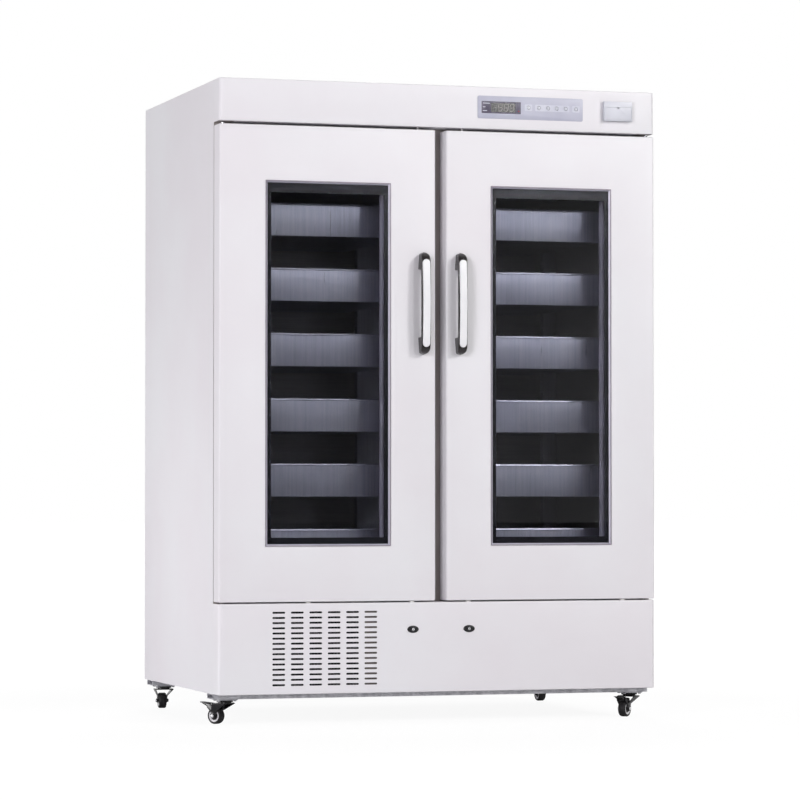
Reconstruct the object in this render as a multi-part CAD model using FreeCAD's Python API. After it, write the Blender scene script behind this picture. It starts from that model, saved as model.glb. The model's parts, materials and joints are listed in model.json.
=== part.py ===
"""Two-door blood bank refrigerator with twelve drawers, on four casters.

Millimetres, +Z up, the doors face -Y, +X is to the right of someone facing the doors.
The origin is on the floor, under the centre of the cabinet. Each piece is one STEP file in parts/.
"""
import FreeCAD, Part
import math
import os

os.makedirs("parts", exist_ok=True)
V = FreeCAD.Vector
X_AXIS, Y_AXIS, Z_AXIS = V(1, 0, 0), V(0, 1, 0), V(0, 0, 1)
ORIGIN = V(0, 0, 0)

# Overall sizes
width = 1400.0            # across the two side panels
depth = 963.0             # door face to the rear edge of the side panels
caster_h = 77.0           # floor to the underside of the cross channels
channel_h = 16.0
panel_h = 273.0           # lower front panel
gap_low = 4.5             # lower panel to door
door_h = 1439.0
gap_top = 9.0             # door to head
head_h = 129.5            # head fascia

# Sheet, clearances
skin = 1.2                # painted steel of the casing
seam = 0.3                # gap where two pieces meet without a weld
slack = 1.0               # for picking edges by where they lie
running = 0.05            # radial gap of a pin in its bore
front_zone = 70.0         # door face to the face frame
rear_inset = 12.0         # rear panel stands this far inside the side panels' edges
corner_r = 12.0           # upright front corners of the head and the lower panel
rim = 2.5                 # bevel on the folded edges of the head and the lower panel

# Insulated body
wall = 60.0               # outer skin to liner, at the sides, the back and the roof
mouth_over = 39.5         # the door covers the mouth by this much at its top and bottom
floor_wall = 80.0         # insulated floor
liner_t = 1.0

# Face frame, which the doors close on
frame_t = 1.5
frame_past = 30.5         # frame above and below the door
frame_return = 38.0       # depth of the folded edges of each mouth
mullion_w = 90.0

# Doors
door_gap = 34.0           # between the two doors
door_t = 62.0
door_skin = 1.5
door_corner_r = 7.0
door_rim = 3.0
window_side = 142.5       # trim to the door's side edges
window_end = 165.5        # trim to the door's top and bottom edges
trim_w = 8.5
trim_lap = 5.0            # trim on the door's face, outside the window cut-out
trim_proud = 2.0
trim_deep = 4.5           # trim behind the door's face
trim_flat = 3.5           # flat front land of the trim
trim_wall = 1.6
glass_t = 4.0
glass_gap = 16.0          # between the two panes
spacer_w = 8.0
spacer_in = 6.0           # spacer to the edge of the panes
pane_clear = 1.0
liner_sheet = 2.0         # inner pan of the door
reveal_border = 14.0      # inner pan's opening is this much smaller than the cut-out

# Door gasket: foot, neck and magnet head
gasket_in = 20.0          # outer edge of the head to the edge of the door
gasket_side = 14.0        # the same at the top and bottom
gasket_w = 16.0
gasket_foot_w = 12.0
gasket_neck_w = 7.0
gasket_foot_t = 2.0
gasket_neck_t = 2.5

# Hinges
hinge_x = 18.0            # axis to the side of the cabinet
hinge_y = 25.0            # axis to the door's face
hinge_pin_r = 4.0
hinge_boss_r = 8.0
hinge_pin_in = 18.0       # length of the pin inside the door
hinge_plate_w = 50.0
hinge_plate_front = 10.0  # plate's front edge to the door's face
hinge_low_t = 4.0
hinge_top_t = 5.0
hinge_washer_r = 7.0
hinge_washer_play = 0.3   # washer to the door
hinge_notch = 0.5

# Pull handles
handle_reach = 46.0       # out from the door's face
handle_w = 28.0
handle_len = 311.0
handle_foot = 52.0        # height of each foot on the door
handle_bar = 17.0         # thickness of the grip
handle_crown = 6.0        # the grip bows out by this much
handle_edge = 3.0         # chamfer round the front of the body
handle_shoulder = 26.0    # length over which each end falls back to the door
handle_end_out = 0.62     # where each end's curve passes, as a share of the reach
handle_end_in = 0.22      # the same along the shoulder
handle_bend = 0.3         # inner bend of the grip, as a share of its radius
handle_side = 28.0        # outer edge of the handle to the door's free edge
handle_up = 187.0         # centre of the handle above the centre of the door
insert_w = 23.0
insert_len = 268.0
insert_t = 3.0
insert_proud = 1.5
insert_fit = 0.2

# Drawers, two columns of six
drawer_rows = 6
drawer_floor_room = 179.5  # liner floor to the top of the lowest front
drawer_top_room = 184.5   # top of the highest front to the liner ceiling
drawer_front_h = 102.0
drawer_front_y = 120.0    # door face to drawer front
drawer_back_room = 69.8   # drawer to the back of the liner
drawer_side_in = 110.0    # cabinet side to the drawer
drawer_mid_gap = 104.0    # between the two columns
drawer_sheet = 1.2
drawer_flange = 14.0      # runs in the rail
drawer_flange_drop = 8.0  # top of the front to the flange
drawer_floor_up = 4.0     # drawer floor above the front's lower edge
hem_r = 3.0               # rolled top edge of the front
foot_fold = 10.0          # folded lower edge of the front
drawer_back_drop = 14.0

# Rails and posts that carry the drawers
rail_t = 1.5
rail_leg = 15.5
rail_play = 0.3           # under the flange
rail_over = 2.5           # over the flange
rail_side = 2.0           # flange edge to the rail's web
rail_start = 2.0          # behind the drawer front's sheet
post_t = 2.0
post_d = 30.0
post_front = 30.0         # rail start to front post
post_rear = 60.0          # rear post to rail end
post_over = 50.5          # post above the highest drawer

# Head: control panel, buttons, printer
panel_x0 = 118.6          # from the centre of the cabinet
panel_w = 344.0
panel_z0 = 32.0           # above the lower edge of the head
panel_hh = 70.0
panel_t = 1.5
panel_r = 5.0
display_in = 12.6
display_w = 128.0
display_h = 37.4
display_up = 16.3
display_deep = 0.7
case_in = 5.0             # controller case inside the overlay's outline
case_d = 34.0
case_t = 1.6
button_r = 5.5
button_face_r = 4.2
button_hole = 0.4         # round the cap
button_up = 37.5          # above the overlay's lower edge
button_at = (165.6, 199.4, 230.0, 258.3, 287.9, 321.6)  # from the overlay's left edge
button_proud = 1.9
button_bevel = 0.9
button_stem = 7.0
button_sides = 16
panel_lap = 8.0           # overlay over the edge of the cut-out behind it
printer_in = 171.0        # cabinet's right side to the recorder's left edge
printer_w = 93.5
printer_z0 = 36.0
printer_hh = 60.5
printer_proud = 14.0
printer_depth = 46.0
printer_rim = 3.0
printer_strip = 18.0      # fixed strip above the flap
flap_t = 4.0
flap_seat = 1.9           # flap to the wall behind it
flap_clear = 0.4
flap_pin_r = 1.2
flap_pin_up = 3.2
flap_pin_len = 2.4
flap_bevel = 1.8
notch_w = 9.0
notch_h = 4.0

# Lower panel: air slots and locks
slot_cols = 6
slot_rows = 15
slot_w = 40.0
slot_h = 5.6
slot_x0 = 166.5           # cabinet's left side to the first column
slot_dx = 57.9
slot_z0 = 28.0            # panel's lower edge to the lowest row
slot_dz = 15.54
lock_x = 90.0             # from the centre of the cabinet
lock_drop = 82.0          # below the panel's top edge
lock_flange_w = 36.0
lock_flange_h = 22.0
lock_flange_t = 3.0
lock_body_r = 10.5
lock_body_len = 24.0
lock_r = 7.5
lock_face = 1.5
lock_key_w = 2.0
lock_key_h = 8.0
lock_key_deep = 5.0
cam_len = 95.0
cam_w = 13.0
cam_t = 2.5
cam_corner = 4.0
cam_slot = 7.0            # width of the slots that the cam passes
cam_slot_room = 3.0

# Base frame and casters
channel_d = 75.0
channel_front = 65.5      # door face to the front channel
channel_rear = 36.5       # rear edge of the cabinet to the rear channel
channel_t = 2.0
pan_t = 1.5
pan_lip = 12.0
caster_in = 46.0          # cabinet side to the swivel axis
plate_side = 68.0
plate_t = 3.0
plate_corner = 6.0
race_r = 23.0
race_h = 6.0
race_play = 0.3
bolt_r = 5.0              # to the corners of the hexagonal head
bolt_head = 3.5
bolt_in = 9.0
wheel_r = 25.0
wheel_w = 24.0
wheel_shoulder = 3.0
wheel_side_r = 20.5       # where the shoulder starts
wheel_rim_r = 18.0
wheel_sides = 36
wheel_dish = 2.5          # side of the wheel inside the tyre
trail = 33.0              # swivel axis to wheel axle
axle_r = 4.0
axle_nut_r = 6.5          # to the corners of the hexagon
axle_nut_t = 4.0
neck_in = 3.0             # fork's neck inside the race
neck_t = 3.0
crown_t = 3.0
crown_half = 30.0
crown_front = 18.0
crown_back = 26.0
leg_t = 2.5
leg_gap = 1.2             # wheel to fork leg
leg_knee = 40.0           # height at which the leg comes in beside the wheel
leg_half_w = 9.0
leg_front = 6.0           # extra width at the knee
leg_toe = 4.5             # half the flat under the axle
leg_toe_z = 7.8           # axle to that flat
ear_x = 50.0              # pedal pivot, along the wheel's run
ear_z = 54.0
ear_r = 6.5
ear_low = 4.0             # ear's root below the knee
ear_neck = 4.0            # ear's rear corner, inside the axle and above the pivot
pedal_pin_r = 2.5
pedal_hub_r = 4.5
pedal_reach = 90.0
pedal_half = 12.0
pedal_t = 2.0
pedal_corner = 5.0
pedal_tip_z = 66.0
pedal_heel_z = 63.0
pedal_heel_x = 49.0
pedal_rib_end = 80.0
pedal_rib_in = 2.0        # rib's lower edge, from the pivot
pedal_rib_out = 4.0
pedal_rib_drop = 3.0
pedal_holes = ((60.0, 58.6, 2.2), (67.0, 60.4, 1.5))
turn_front_left = 128.0   # run of each wheel, degrees from +X about the swivel
turn_front_right = 223.0
turn_rear_left = 86.0
turn_rear_right = 94.0

# Cold air unit under the liner's ceiling
evap_side = 90.0
evap_front = 300.0        # liner mouth to the housing
evap_h = 126.0
evap_slope = 40.0
evap_t = 2.0
evap_fan_r = 46.0
evap_ring = 3.0           # wall of the fan's tube
evap_ring_out = 6.0       # tube in front of the housing
evap_ring_len = 46.0
evap_fan_in = 4.0         # front of the housing to the fan
evap_fan_drop = 12.0      # fan's axis below the middle of the upright front
guard_w = 2.4             # bars across the fan's mouth
guard_t = 2.0
evap_slot_w = 60.0
evap_slot_h = 8.0
evap_slots = 4            # on each side of the fan
evap_slot_first = 138.0   # fan's axis to the first slot
evap_slot_dx = 75.0
evap_slot_rows = (80.0, 110.0)
fan_hub_r = 15.0
fan_hub_len = 16.0
fan_shaft_r = 2.5
fan_bore_len = 11.0
fan_blades = 5
fan_blade_t = 1.4
fan_pitch = 30.0
fan_chord = 0.85          # blade's width, as a share of what fits along the hub
fan_camber = 3.0          # fold along the middle of each pressed blade
fan_edge = 2.0            # blade to the ends of the hub
fan_tip_gap = 2.5
motor_r = 18.0
motor_len = 24.0
strut_w = 6.0
strut_t = 3.0
strut_lap = 2.0           # struts in the motor's can
shaft_end = 1.0           # shaft to the bottom of its bore

# Condensing unit in the base
cond_in = 170.0           # cabinet's left side to the coil
cond_w = 300.0
cond_h = 200.0
cond_d = 44.0
cond_front = 110.0        # door face to the coil
cond_fin_t = 1.5
cond_fins = 10
cond_plate = 3.0
cond_foot = 20.0
shroud_d = 40.0
cond_fan_r = 85.0
cond_hub_r = 24.0
cond_strut_lap = 6.0      # struts on the shroud
comp_in = 440.0           # cabinet's right side to the compressor's axis
comp_y = 560.0            # door face to the compressor's axis
comp_r = 88.0
comp_dome_r = 60.0
comp_dome_h = 26.0
comp_sides = 24
comp_h = 175.0
comp_foot_w = 190.0
comp_foot_t = 4.0
comp_foot_d = 120.0
comp_rubber = 14.0        # height and half the width of each rubber foot
comp_box_w = 60.0
comp_box_d = 34.0
comp_box_h = 70.0
comp_box_up = 45.0

# Rear panel
grille_cols = 4
grille_rows = 7
grille_dx = 115.0
grille_dz = 20.0
grille_slot_w = 95.0
grille_slot_h = 8.0
grille_z0 = 130.0
gland_r = 11.0
gland_nut_r = 14.5        # to the corners of the hexagon
gland_nut_t = 4.0
gland_bore_r = 4.5
gland_out = 9.0
gland_in = 140.0          # cabinet's left side to the gland
gland_z = 150.0

# Places that follow from the sizes
side_x = width / 2.0
face_y = -(depth - handle_reach) / 2.0
frame_y = face_y + front_zone
edge_y = face_y + depth
rear_y = edge_y - rear_inset
base_z = caster_h + channel_h
panel_top = base_z + panel_h
door_z0 = panel_top + gap_low
door_z1 = door_z0 + door_h
head_z0 = door_z1 + gap_top
height = head_z0 + head_h
button_z = head_z0 + panel_z0 + button_up
door_w = (width - door_gap) / 2.0
door_x0 = -side_x
door_x1 = door_x0 + door_w
floor_top = door_z0 + mouth_over
ceiling = door_z1 - mouth_over
foam_low = floor_top - floor_wall
foam_high = ceiling + wall
window_w = door_w - 2 * window_side
window_h = door_h - 2 * window_end
window_x = (door_x0 + door_x1) / 2.0
window_z = (door_z0 + door_z1) / 2.0
cut_w = window_w - 2 * trim_lap
cut_h = window_h - 2 * trim_lap
glass_y0 = face_y + trim_deep + seam
glass_y1 = glass_y0 + 2 * glass_t + glass_gap
cavity_x = side_x - wall
cavity_y0 = frame_y + frame_return + seam
cavity_y1 = rear_y - skin - wall
drawer_len = cavity_y1 - drawer_back_room - face_y - drawer_front_y
drawer_low_top = floor_top + drawer_floor_room
drawer_high_top = ceiling - drawer_top_room
drawer_pitch = (drawer_high_top - drawer_low_top) / (drawer_rows - 1)
post_top = drawer_high_top + post_over
hinge_ax = -side_x + hinge_x
hinge_ay = face_y + hinge_y
lock_z = panel_top - lock_drop
channel_front_y = face_y + channel_front
channel_rear_y = edge_y - channel_rear - channel_d
printer_x0 = side_x - printer_in
cond_x0 = -side_x + cond_in
comp_x = side_x - comp_in
gland_x = -side_x + gland_in


def box(x0, x1, y0, y1, z0, z1):
    return Part.makeBox(x1 - x0, y1 - y0, z1 - z0, V(x0, y0, z0))


def rod(radius, start, direction, length):
    return Part.makeCylinder(radius, length, start, direction)


def polygon(points):
    return Part.makePolygon(points + [points[0]])


def prism(points, direction):
    """A closed polygon of 3-D points, pushed along a vector."""
    return Part.Face(polygon(points)).extrude(direction)


def fuse(shapes):
    whole = shapes[0].fuse(shapes[1:]) if len(shapes) > 1 else shapes[0]
    return whole.removeSplitter()


def corners_of(cx, cz, w, h, y):
    """The corners of an upright rectangle about a centre."""
    x0, x1, z0, z1 = cx - w / 2, cx + w / 2, cz - h / 2, cz + h / 2
    return [V(x0, y, z0), V(x1, y, z0), V(x1, y, z1), V(x0, y, z1)]


def upright_ring(cx, cz, w, h, band, y0, y1):
    """A rectangular frame that stands upright: outer size w by h, bars of one width."""
    outer = box(cx - w / 2, cx + w / 2, y0, y1, cz - h / 2, cz + h / 2)
    inner = box(cx - w / 2 + band, cx + w / 2 - band, y0, y1, cz - h / 2 + band, cz + h / 2 - band)
    return outer.cut(inner)


def stadium(cx, cz, w, h, y, length):
    """A tall bar with round ends, w by h, pushed back from y."""
    r = w / 2
    a, b = V(cx, y, cz + h / 2 - r), V(cx, y, cz - h / 2 + r)
    n, out = V(r, 0, 0), V(0, 0, -r)
    edges = [
        Part.LineSegment(a + n, b + n).toShape(),
        Part.Arc(b + n, b + out, b - n).toShape(),
        Part.LineSegment(b - n, a - n).toShape(),
        Part.Arc(a - n, a - out, a + n).toShape(),
    ]
    return Part.Face(Part.Wire(edges)).extrude(V(0, length, 0))


def hexagon(radius, start, direction, length):
    """A hexagonal head or nut; radius is to its corners."""
    side = X_AXIS if direction.cross(X_AXIS).Length > 0.5 else Z_AXIS
    corners = []
    for k in range(6):
        corner = side * radius
        turn = FreeCAD.Rotation(direction, 60.0 * k)
        corners.append(start + turn.multVec(corner))
    return prism(corners, direction * length)


def slot_cut(cx, cz, w, h, y, length):
    """A punched slot, pushed back from y."""
    return box(cx - w / 2, cx + w / 2, y, y + length, cz - h / 2, cz + h / 2)


def skinned(rings):
    """A solid with a flat face between each pair of edges of neighbouring rings of corners."""
    faces = [Part.Face(polygon(rings[0])), Part.Face(polygon(rings[-1]))]
    for low, high in zip(rings, rings[1:]):
        for k in range(len(low)):
            faces.append(Part.Face(polygon([low[k - 1], low[k], high[k], high[k - 1]])))
    solid = Part.Solid(Part.Shell(faces))
    if solid.Volume < 0:
        solid.reverse()
    return solid


def facets(sections, cx, cz, sides):
    """A solid through upright regular polygons, given as (y, radius to the corners)."""
    turns = [2 * math.pi * k / sides for k in range(sides)]
    return skinned([
        [V(cx + radius * math.cos(turn), y, cz + radius * math.sin(turn)) for turn in turns]
        for y, radius in sections
    ])


def edges_if(shape, keep):
    return [e for e in shape.Edges if keep(e.BoundBox)]


def near(a, b):
    return abs(a - b) < 1e-4


def soft_box(x0, x1, y0, y1, z0, z1, r_side, bevel):
    """A block with its two upright front corners rounded and its other front edges bevelled."""
    block = box(x0, x1, y0, y1, z0, z1)
    upright = edges_if(block, lambda b: near(b.YMax, y0) and b.ZLength > slack)
    block = block.makeFillet(r_side, upright)
    rims = edges_if(block, lambda b: near(b.ZLength, 0) and not near(b.YMin, y1))
    return block.makeChamfer(bevel, rims)


def inner_bevel(rim, sheet):
    """The bevel on the inner side of a folded edge, for an even thickness of sheet."""
    return rim - (2 - math.sqrt(2)) * sheet


def mirrored(shape):
    return shape.mirror(ORIGIN, X_AXIS)


def save(node, shape):
    shape.exportStep("parts/%s.step" % node)


def both_sides(name, shape):
    """A left-hand piece and its mirror image on the right."""
    save("left_" + name, shape)
    save("right_" + name, mirrored(shape))


# Casing


def outer_shell():
    """Side panels and top, folded from one sheet, with a lip round the rear edge."""
    outer = box(-side_x, side_x, frame_y, edge_y, base_z, height)
    inner = box(-side_x + skin, side_x - skin, frame_y, edge_y, base_z, height - skin)
    lip = box(-side_x, side_x, edge_y - skin, edge_y, base_z, height)
    x = side_x - rear_inset
    lip = lip.cut(box(-x, x, edge_y - skin, edge_y, base_z, height - rear_inset))
    return fuse([outer.cut(inner), lip])


def rear_panel():
    """Back sheet with air slots over the machine space and the gland of the mains lead."""
    x, top = side_x - skin - seam, height - skin - seam
    sheet = box(-x, x, rear_y - skin, rear_y, base_z, top)
    slots = []
    for row in range(grille_rows):
        for column in range(grille_cols):
            cx = (column - (grille_cols - 1) / 2) * grille_dx
            cz = grille_z0 + row * grille_dz
            slots.append(slot_cut(cx, cz, grille_slot_w, grille_slot_h, rear_y - 2 * skin, 3 * skin))
    sheet = sheet.cut(Part.Compound(slots))
    at = V(gland_x, rear_y - skin, gland_z)
    gland = rod(gland_r, at, Y_AXIS, skin + gland_out)
    nut = hexagon(gland_nut_r, V(gland_x, rear_y, gland_z), Y_AXIS, gland_nut_t)
    bore = rod(gland_bore_r, at, Y_AXIS, skin + gland_out)
    return fuse([sheet, gland, nut]).cut(bore)


def foam_insulation():
    x = side_x - skin - seam
    block = box(-x, x, frame_y + frame_t + seam, rear_y - skin - seam, foam_low, foam_high)
    room = liner_t + seam
    cavity = box(
        -cavity_x - room, cavity_x + room, frame_y, cavity_y1 + room, floor_top - room, ceiling + room
    )
    return block.cut(cavity)


def inner_liner():
    outer = box(
        -cavity_x - liner_t, cavity_x + liner_t, cavity_y0, cavity_y1 + liner_t,
        floor_top - liner_t, ceiling + liner_t,
    )
    return outer.cut(box(-cavity_x, cavity_x, cavity_y0, cavity_y1, floor_top, ceiling))


def hinge_plate(z0, z1, pin_z, pin_len):
    """A plate that stands out of the face frame and holds one hinge pin."""
    x0 = -side_x + skin
    plate = box(x0, x0 + hinge_plate_w, face_y + hinge_plate_front, frame_y, z0, z1)
    corner = edges_if(plate, lambda b: near(b.YMax, face_y + hinge_plate_front) and b.ZLength > slack)
    plate = plate.makeFillet(hinge_boss_r, corner)
    pin = rod(hinge_pin_r, V(hinge_ax, hinge_ay, pin_z), Z_AXIS, pin_len)
    return [plate, pin]


def face_frame():
    """Front of the insulated body, with two mouths, the mullion and the four hinge plates."""
    x = side_x - skin - seam
    sheet = box(-x, x, frame_y, frame_y + frame_t, door_z0 - frame_past, door_z1 + frame_past)
    back = frame_y + frame_return
    half = mullion_w / 2
    tubes, mouths = [], []
    for side in (-1, 1):
        lo, hi = sorted((side * cavity_x, side * half))
        tubes.append(box(lo, hi, frame_y, back, floor_top, ceiling))
        mouths.append(
            box(lo + frame_t, hi - frame_t, frame_y, back, floor_top + frame_t, ceiling - frame_t)
        )
    low_z = panel_top - hinge_low_t
    low = hinge_plate(low_z, panel_top, low_z, hinge_low_t + gap_low + hinge_pin_in)
    top = hinge_plate(
        head_z0, head_z0 + hinge_top_t, door_z1 - hinge_pin_in, gap_top + hinge_pin_in + hinge_top_t
    )
    washer = rod(hinge_washer_r, V(hinge_ax, hinge_ay, panel_top), Z_AXIS, gap_low - hinge_washer_play)
    left = low + top + [washer]
    frame = fuse([sheet] + tubes)
    for mouth in mouths:
        frame = frame.cut(mouth)
    return fuse([frame] + left + [mirrored(s) for s in left])


def folded_cover(z0, z1):
    """A front cover: one sheet, wrapped round the sides and folded back at the top and bottom."""
    outer = soft_box(-side_x, side_x, face_y, frame_y - seam, z0, z1, corner_r, rim)
    inner = soft_box(
        -side_x + skin, side_x - skin, face_y + skin, frame_y, z0 + skin, z1 - skin,
        corner_r - skin, inner_bevel(rim, skin),
    )
    return outer.cut(inner)


def hinge_notches(z0, z1):
    x0 = -side_x + skin
    x1 = x0 + hinge_plate_w + hinge_notch
    notch = box(x0, x1, face_y + hinge_plate_front - hinge_notch, frame_y, z0, z1)
    return [notch, mirrored(notch)]


def head_fascia():
    cover = folded_cover(head_z0, height)
    cuts = hinge_notches(head_z0 - seam, head_z0 + hinge_top_t + hinge_notch)
    for x0, w, z0, h, lap in (
        (panel_x0, panel_w, panel_z0, panel_hh, panel_lap),
        (printer_x0, printer_w, printer_z0, printer_hh, printer_rim),
    ):
        cx, cz = x0 + w / 2, head_z0 + z0 + h / 2
        cuts.append(slot_cut(cx, cz, w - 2 * lap, h - 2 * lap, face_y - skin, 3 * skin))
    return cover.cut(Part.Compound(cuts))


def lower_panel():
    """Front of the machine space, with its air slots, and the two oval lock cases it holds."""
    cover = folded_cover(base_z, panel_top)
    cuts = hinge_notches(panel_top - hinge_low_t - hinge_notch, panel_top + seam)
    for column in range(slot_cols):
        for row in range(slot_rows):
            cx = -side_x + slot_x0 + slot_w / 2 + column * slot_dx
            cz = base_z + slot_z0 + row * slot_dz
            cuts.append(slot_cut(cx, cz, slot_w, slot_h, face_y - skin, 3 * skin))
    for side in (-1, 1):
        at = V(side * lock_x, face_y - skin, lock_z)
        cuts.append(rod(lock_body_r + seam, at, Y_AXIS, 3 * skin))
        cuts.append(cam_way(side, panel_top - 2 * skin, 3 * skin))
    cover = cover.cut(Part.Compound(cuts))
    return Part.Compound([cover] + [lock_case(side) for side in (-1, 1)])


def cam_way(side, z0, dz):
    """The slot that a lock's cam swings up through, at one level."""
    rise = z0 - lock_z
    reach = math.sqrt(cam_len ** 2 - rise ** 2) + cam_slot_room
    inner = cam_w / 2 + cam_slot_room
    x0, x1 = sorted((side * (lock_x - inner), side * (lock_x + reach)))
    y = face_y + lock_body_len + cam_t / 2 + seam
    return box(x0, x1, y - cam_slot / 2, y + cam_slot / 2, z0, z0 + dz)


def lock_case(side):
    """Oval case of a lock: its flange on the panel and the tube that holds the barrel."""
    front = face_y - lock_flange_t
    at = V(side * lock_x, front, lock_z)
    oval = Part.Ellipse(at, lock_flange_w / 2, lock_flange_h / 2).toShape()
    flange = Part.Face(Part.Wire(oval))
    flange.rotate(at, X_AXIS, 90)
    flange = flange.extrude(V(0, lock_flange_t, 0))
    length = lock_flange_t + lock_body_len
    tube = rod(lock_body_r, at, Y_AXIS, length)
    bore = rod(lock_r + running, at, Y_AXIS, length)
    return fuse([flange, tube]).cut(bore)


def lock_barrel(side):
    """Key barrel and its long cam, which points outwards when unlocked."""
    front = face_y - lock_flange_t - lock_face
    back = face_y + lock_body_len + seam + cam_t
    x = side * lock_x
    barrel = rod(lock_r, V(x, front, lock_z), Y_AXIS, back - front)
    key = box(x - lock_key_w / 2, x + lock_key_w / 2, front, front + lock_key_deep,
              lock_z - lock_key_h / 2, lock_z + lock_key_h / 2)
    half, c = cam_w / 2, cam_corner
    arm = prism(
        [
            V(x + side * along, back - cam_t, lock_z + up)
            for along, up in (
                (-half, -half), (cam_len - c, -half), (cam_len, c - half), (cam_len, half - c),
                (cam_len - c, half), (-half, half),
            )
        ],
        V(0, cam_t, 0),
    )
    return fuse([barrel, arm]).cut(key)


# Doors, modelled as the left one


def door_shell():
    """Outer pan of the door: rounded front, window cut-out with a folded edge, hinge bosses."""
    back = face_y + door_t
    outer = soft_box(door_x0, door_x1, face_y, back, door_z0, door_z1, door_corner_r, door_rim)
    t = door_skin
    inner = soft_box(
        door_x0 + t, door_x1 - t, face_y + t, back + t, door_z0 + t, door_z1 - t,
        door_corner_r - t, inner_bevel(door_rim, t),
    )
    fold = box(
        window_x - cut_w / 2 - t, window_x + cut_w / 2 + t, face_y, glass_y1,
        window_z - cut_h / 2 - t, window_z + cut_h / 2 + t,
    )
    hole = box(
        window_x - cut_w / 2, window_x + cut_w / 2, face_y - t, back,
        window_z - cut_h / 2, window_z + cut_h / 2,
    )
    boss_h = hinge_pin_in + t
    low = V(hinge_ax, hinge_ay, door_z0)
    top = V(hinge_ax, hinge_ay, door_z1 - boss_h)
    bosses = [rod(hinge_boss_r, at, Z_AXIS, boss_h) for at in (low, top)]
    shell = fuse([outer.cut(inner), fold] + bosses).cut(hole)
    bores = [
        rod(hinge_pin_r + running, low, Z_AXIS, hinge_pin_in + seam),
        rod(hinge_pin_r + running, V(hinge_ax, hinge_ay, door_z1 - hinge_pin_in - seam), Z_AXIS,
            hinge_pin_in + seam),
        cam_way(-1, door_z0, t),
    ]
    return shell.cut(Part.Compound(bores))


def door_liner():
    """Inner pan: flat back with a groove for the gasket and a reveal round the glass."""
    back = face_y + door_t
    t = liner_sheet
    edge = door_skin + seam
    sheet = box(door_x0 + edge, door_x1 - edge, back - t, back, door_z0 + edge, door_z1 - edge)
    w, h = cut_w - 2 * reveal_border, cut_h - 2 * reveal_border
    reveal = upright_ring(window_x, window_z, w + 2 * t, h + 2 * t, t, glass_y1 + seam, back)
    stop = upright_ring(window_x, window_z, cut_w, cut_h, reveal_border, glass_y1 + seam,
                        glass_y1 + seam + t)
    hole = box(window_x - w / 2, window_x + w / 2, back - t, back, window_z - h / 2, window_z + h / 2)
    return fuse([sheet, reveal, stop]).cut(hole)


def door_gasket():
    """Magnetic seal: a foot in the liner, a narrow neck and the head that meets the face frame."""
    x0, x1 = door_x0 + gasket_in, door_x1 - gasket_side
    z0, z1 = door_z0 + gasket_side, door_z1 - gasket_side
    cx, cz, w, h = (x0 + x1) / 2, (z0 + z1) / 2, x1 - x0, z1 - z0
    y0 = face_y + door_t
    y1 = y0 + gasket_foot_t
    y2 = y1 + gasket_neck_t
    rings = []
    y3 = frame_y - seam
    for band, a, b in ((gasket_foot_w, y0, y1), (gasket_neck_w, y1, y2), (gasket_w, y2, y3)):
        inset = gasket_w - band
        rings.append(upright_ring(cx, cz, w - inset, h - inset, band, a, b))
    return fuse(rings)


def window_trim():
    """Aluminium frame with mitred corners: a flat land, then a slope down to the glass."""
    y0, y1 = face_y - trim_proud, face_y + trim_deep
    lap = upright_ring(window_x, window_z, window_w, window_h, trim_w, y0, face_y)
    leg_w, leg_h = cut_w - 2 * seam, cut_h - 2 * seam
    leg = upright_ring(window_x, window_z, leg_w, leg_h, trim_w - trim_lap - seam, face_y, y1)
    slope = skinned([
        corners_of(window_x, window_z, window_w - 2 * inset, window_h - 2 * inset, y)
        for inset, y in ((trim_flat, y0), (trim_w, y1 - trim_wall))
    ])
    return fuse([lap, leg]).cut(slope)


def glazing():
    """Sealed unit: two panes on an aluminium spacer."""
    w, h = cut_w - 2 * pane_clear, cut_h - 2 * pane_clear
    x0, x1 = window_x - w / 2, window_x + w / 2
    z0, z1 = window_z - h / 2, window_z + h / 2
    front = box(x0, x1, glass_y0, glass_y0 + glass_t, z0, z1)
    rear = box(x0, x1, glass_y1 - glass_t, glass_y1, z0, z1)
    spacer = upright_ring(
        window_x, window_z, w - 2 * spacer_in, h - 2 * spacer_in, spacer_w,
        glass_y0 + glass_t, glass_y1 - glass_t,
    )
    return Part.Compound([front, rear, spacer])


def bowed_face(x, half_z, y_mid, crown, y_back):
    """Side view of a bar whose front bows out by crown over twice half_z."""
    ends = [V(x, y_mid + crown, z) for z in (half_z, -half_z)]
    arc = Part.Arc(ends[0], V(x, y_mid, 0), ends[1]).toShape()
    back = [V(x, y_back, -half_z), V(x, y_back, half_z)]
    lines = [(ends[1], back[0]), (back[0], back[1]), (back[1], ends[0])]
    return Part.Face(Part.Wire([arc] + [Part.LineSegment(a, b).toShape() for a, b in lines]))


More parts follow.
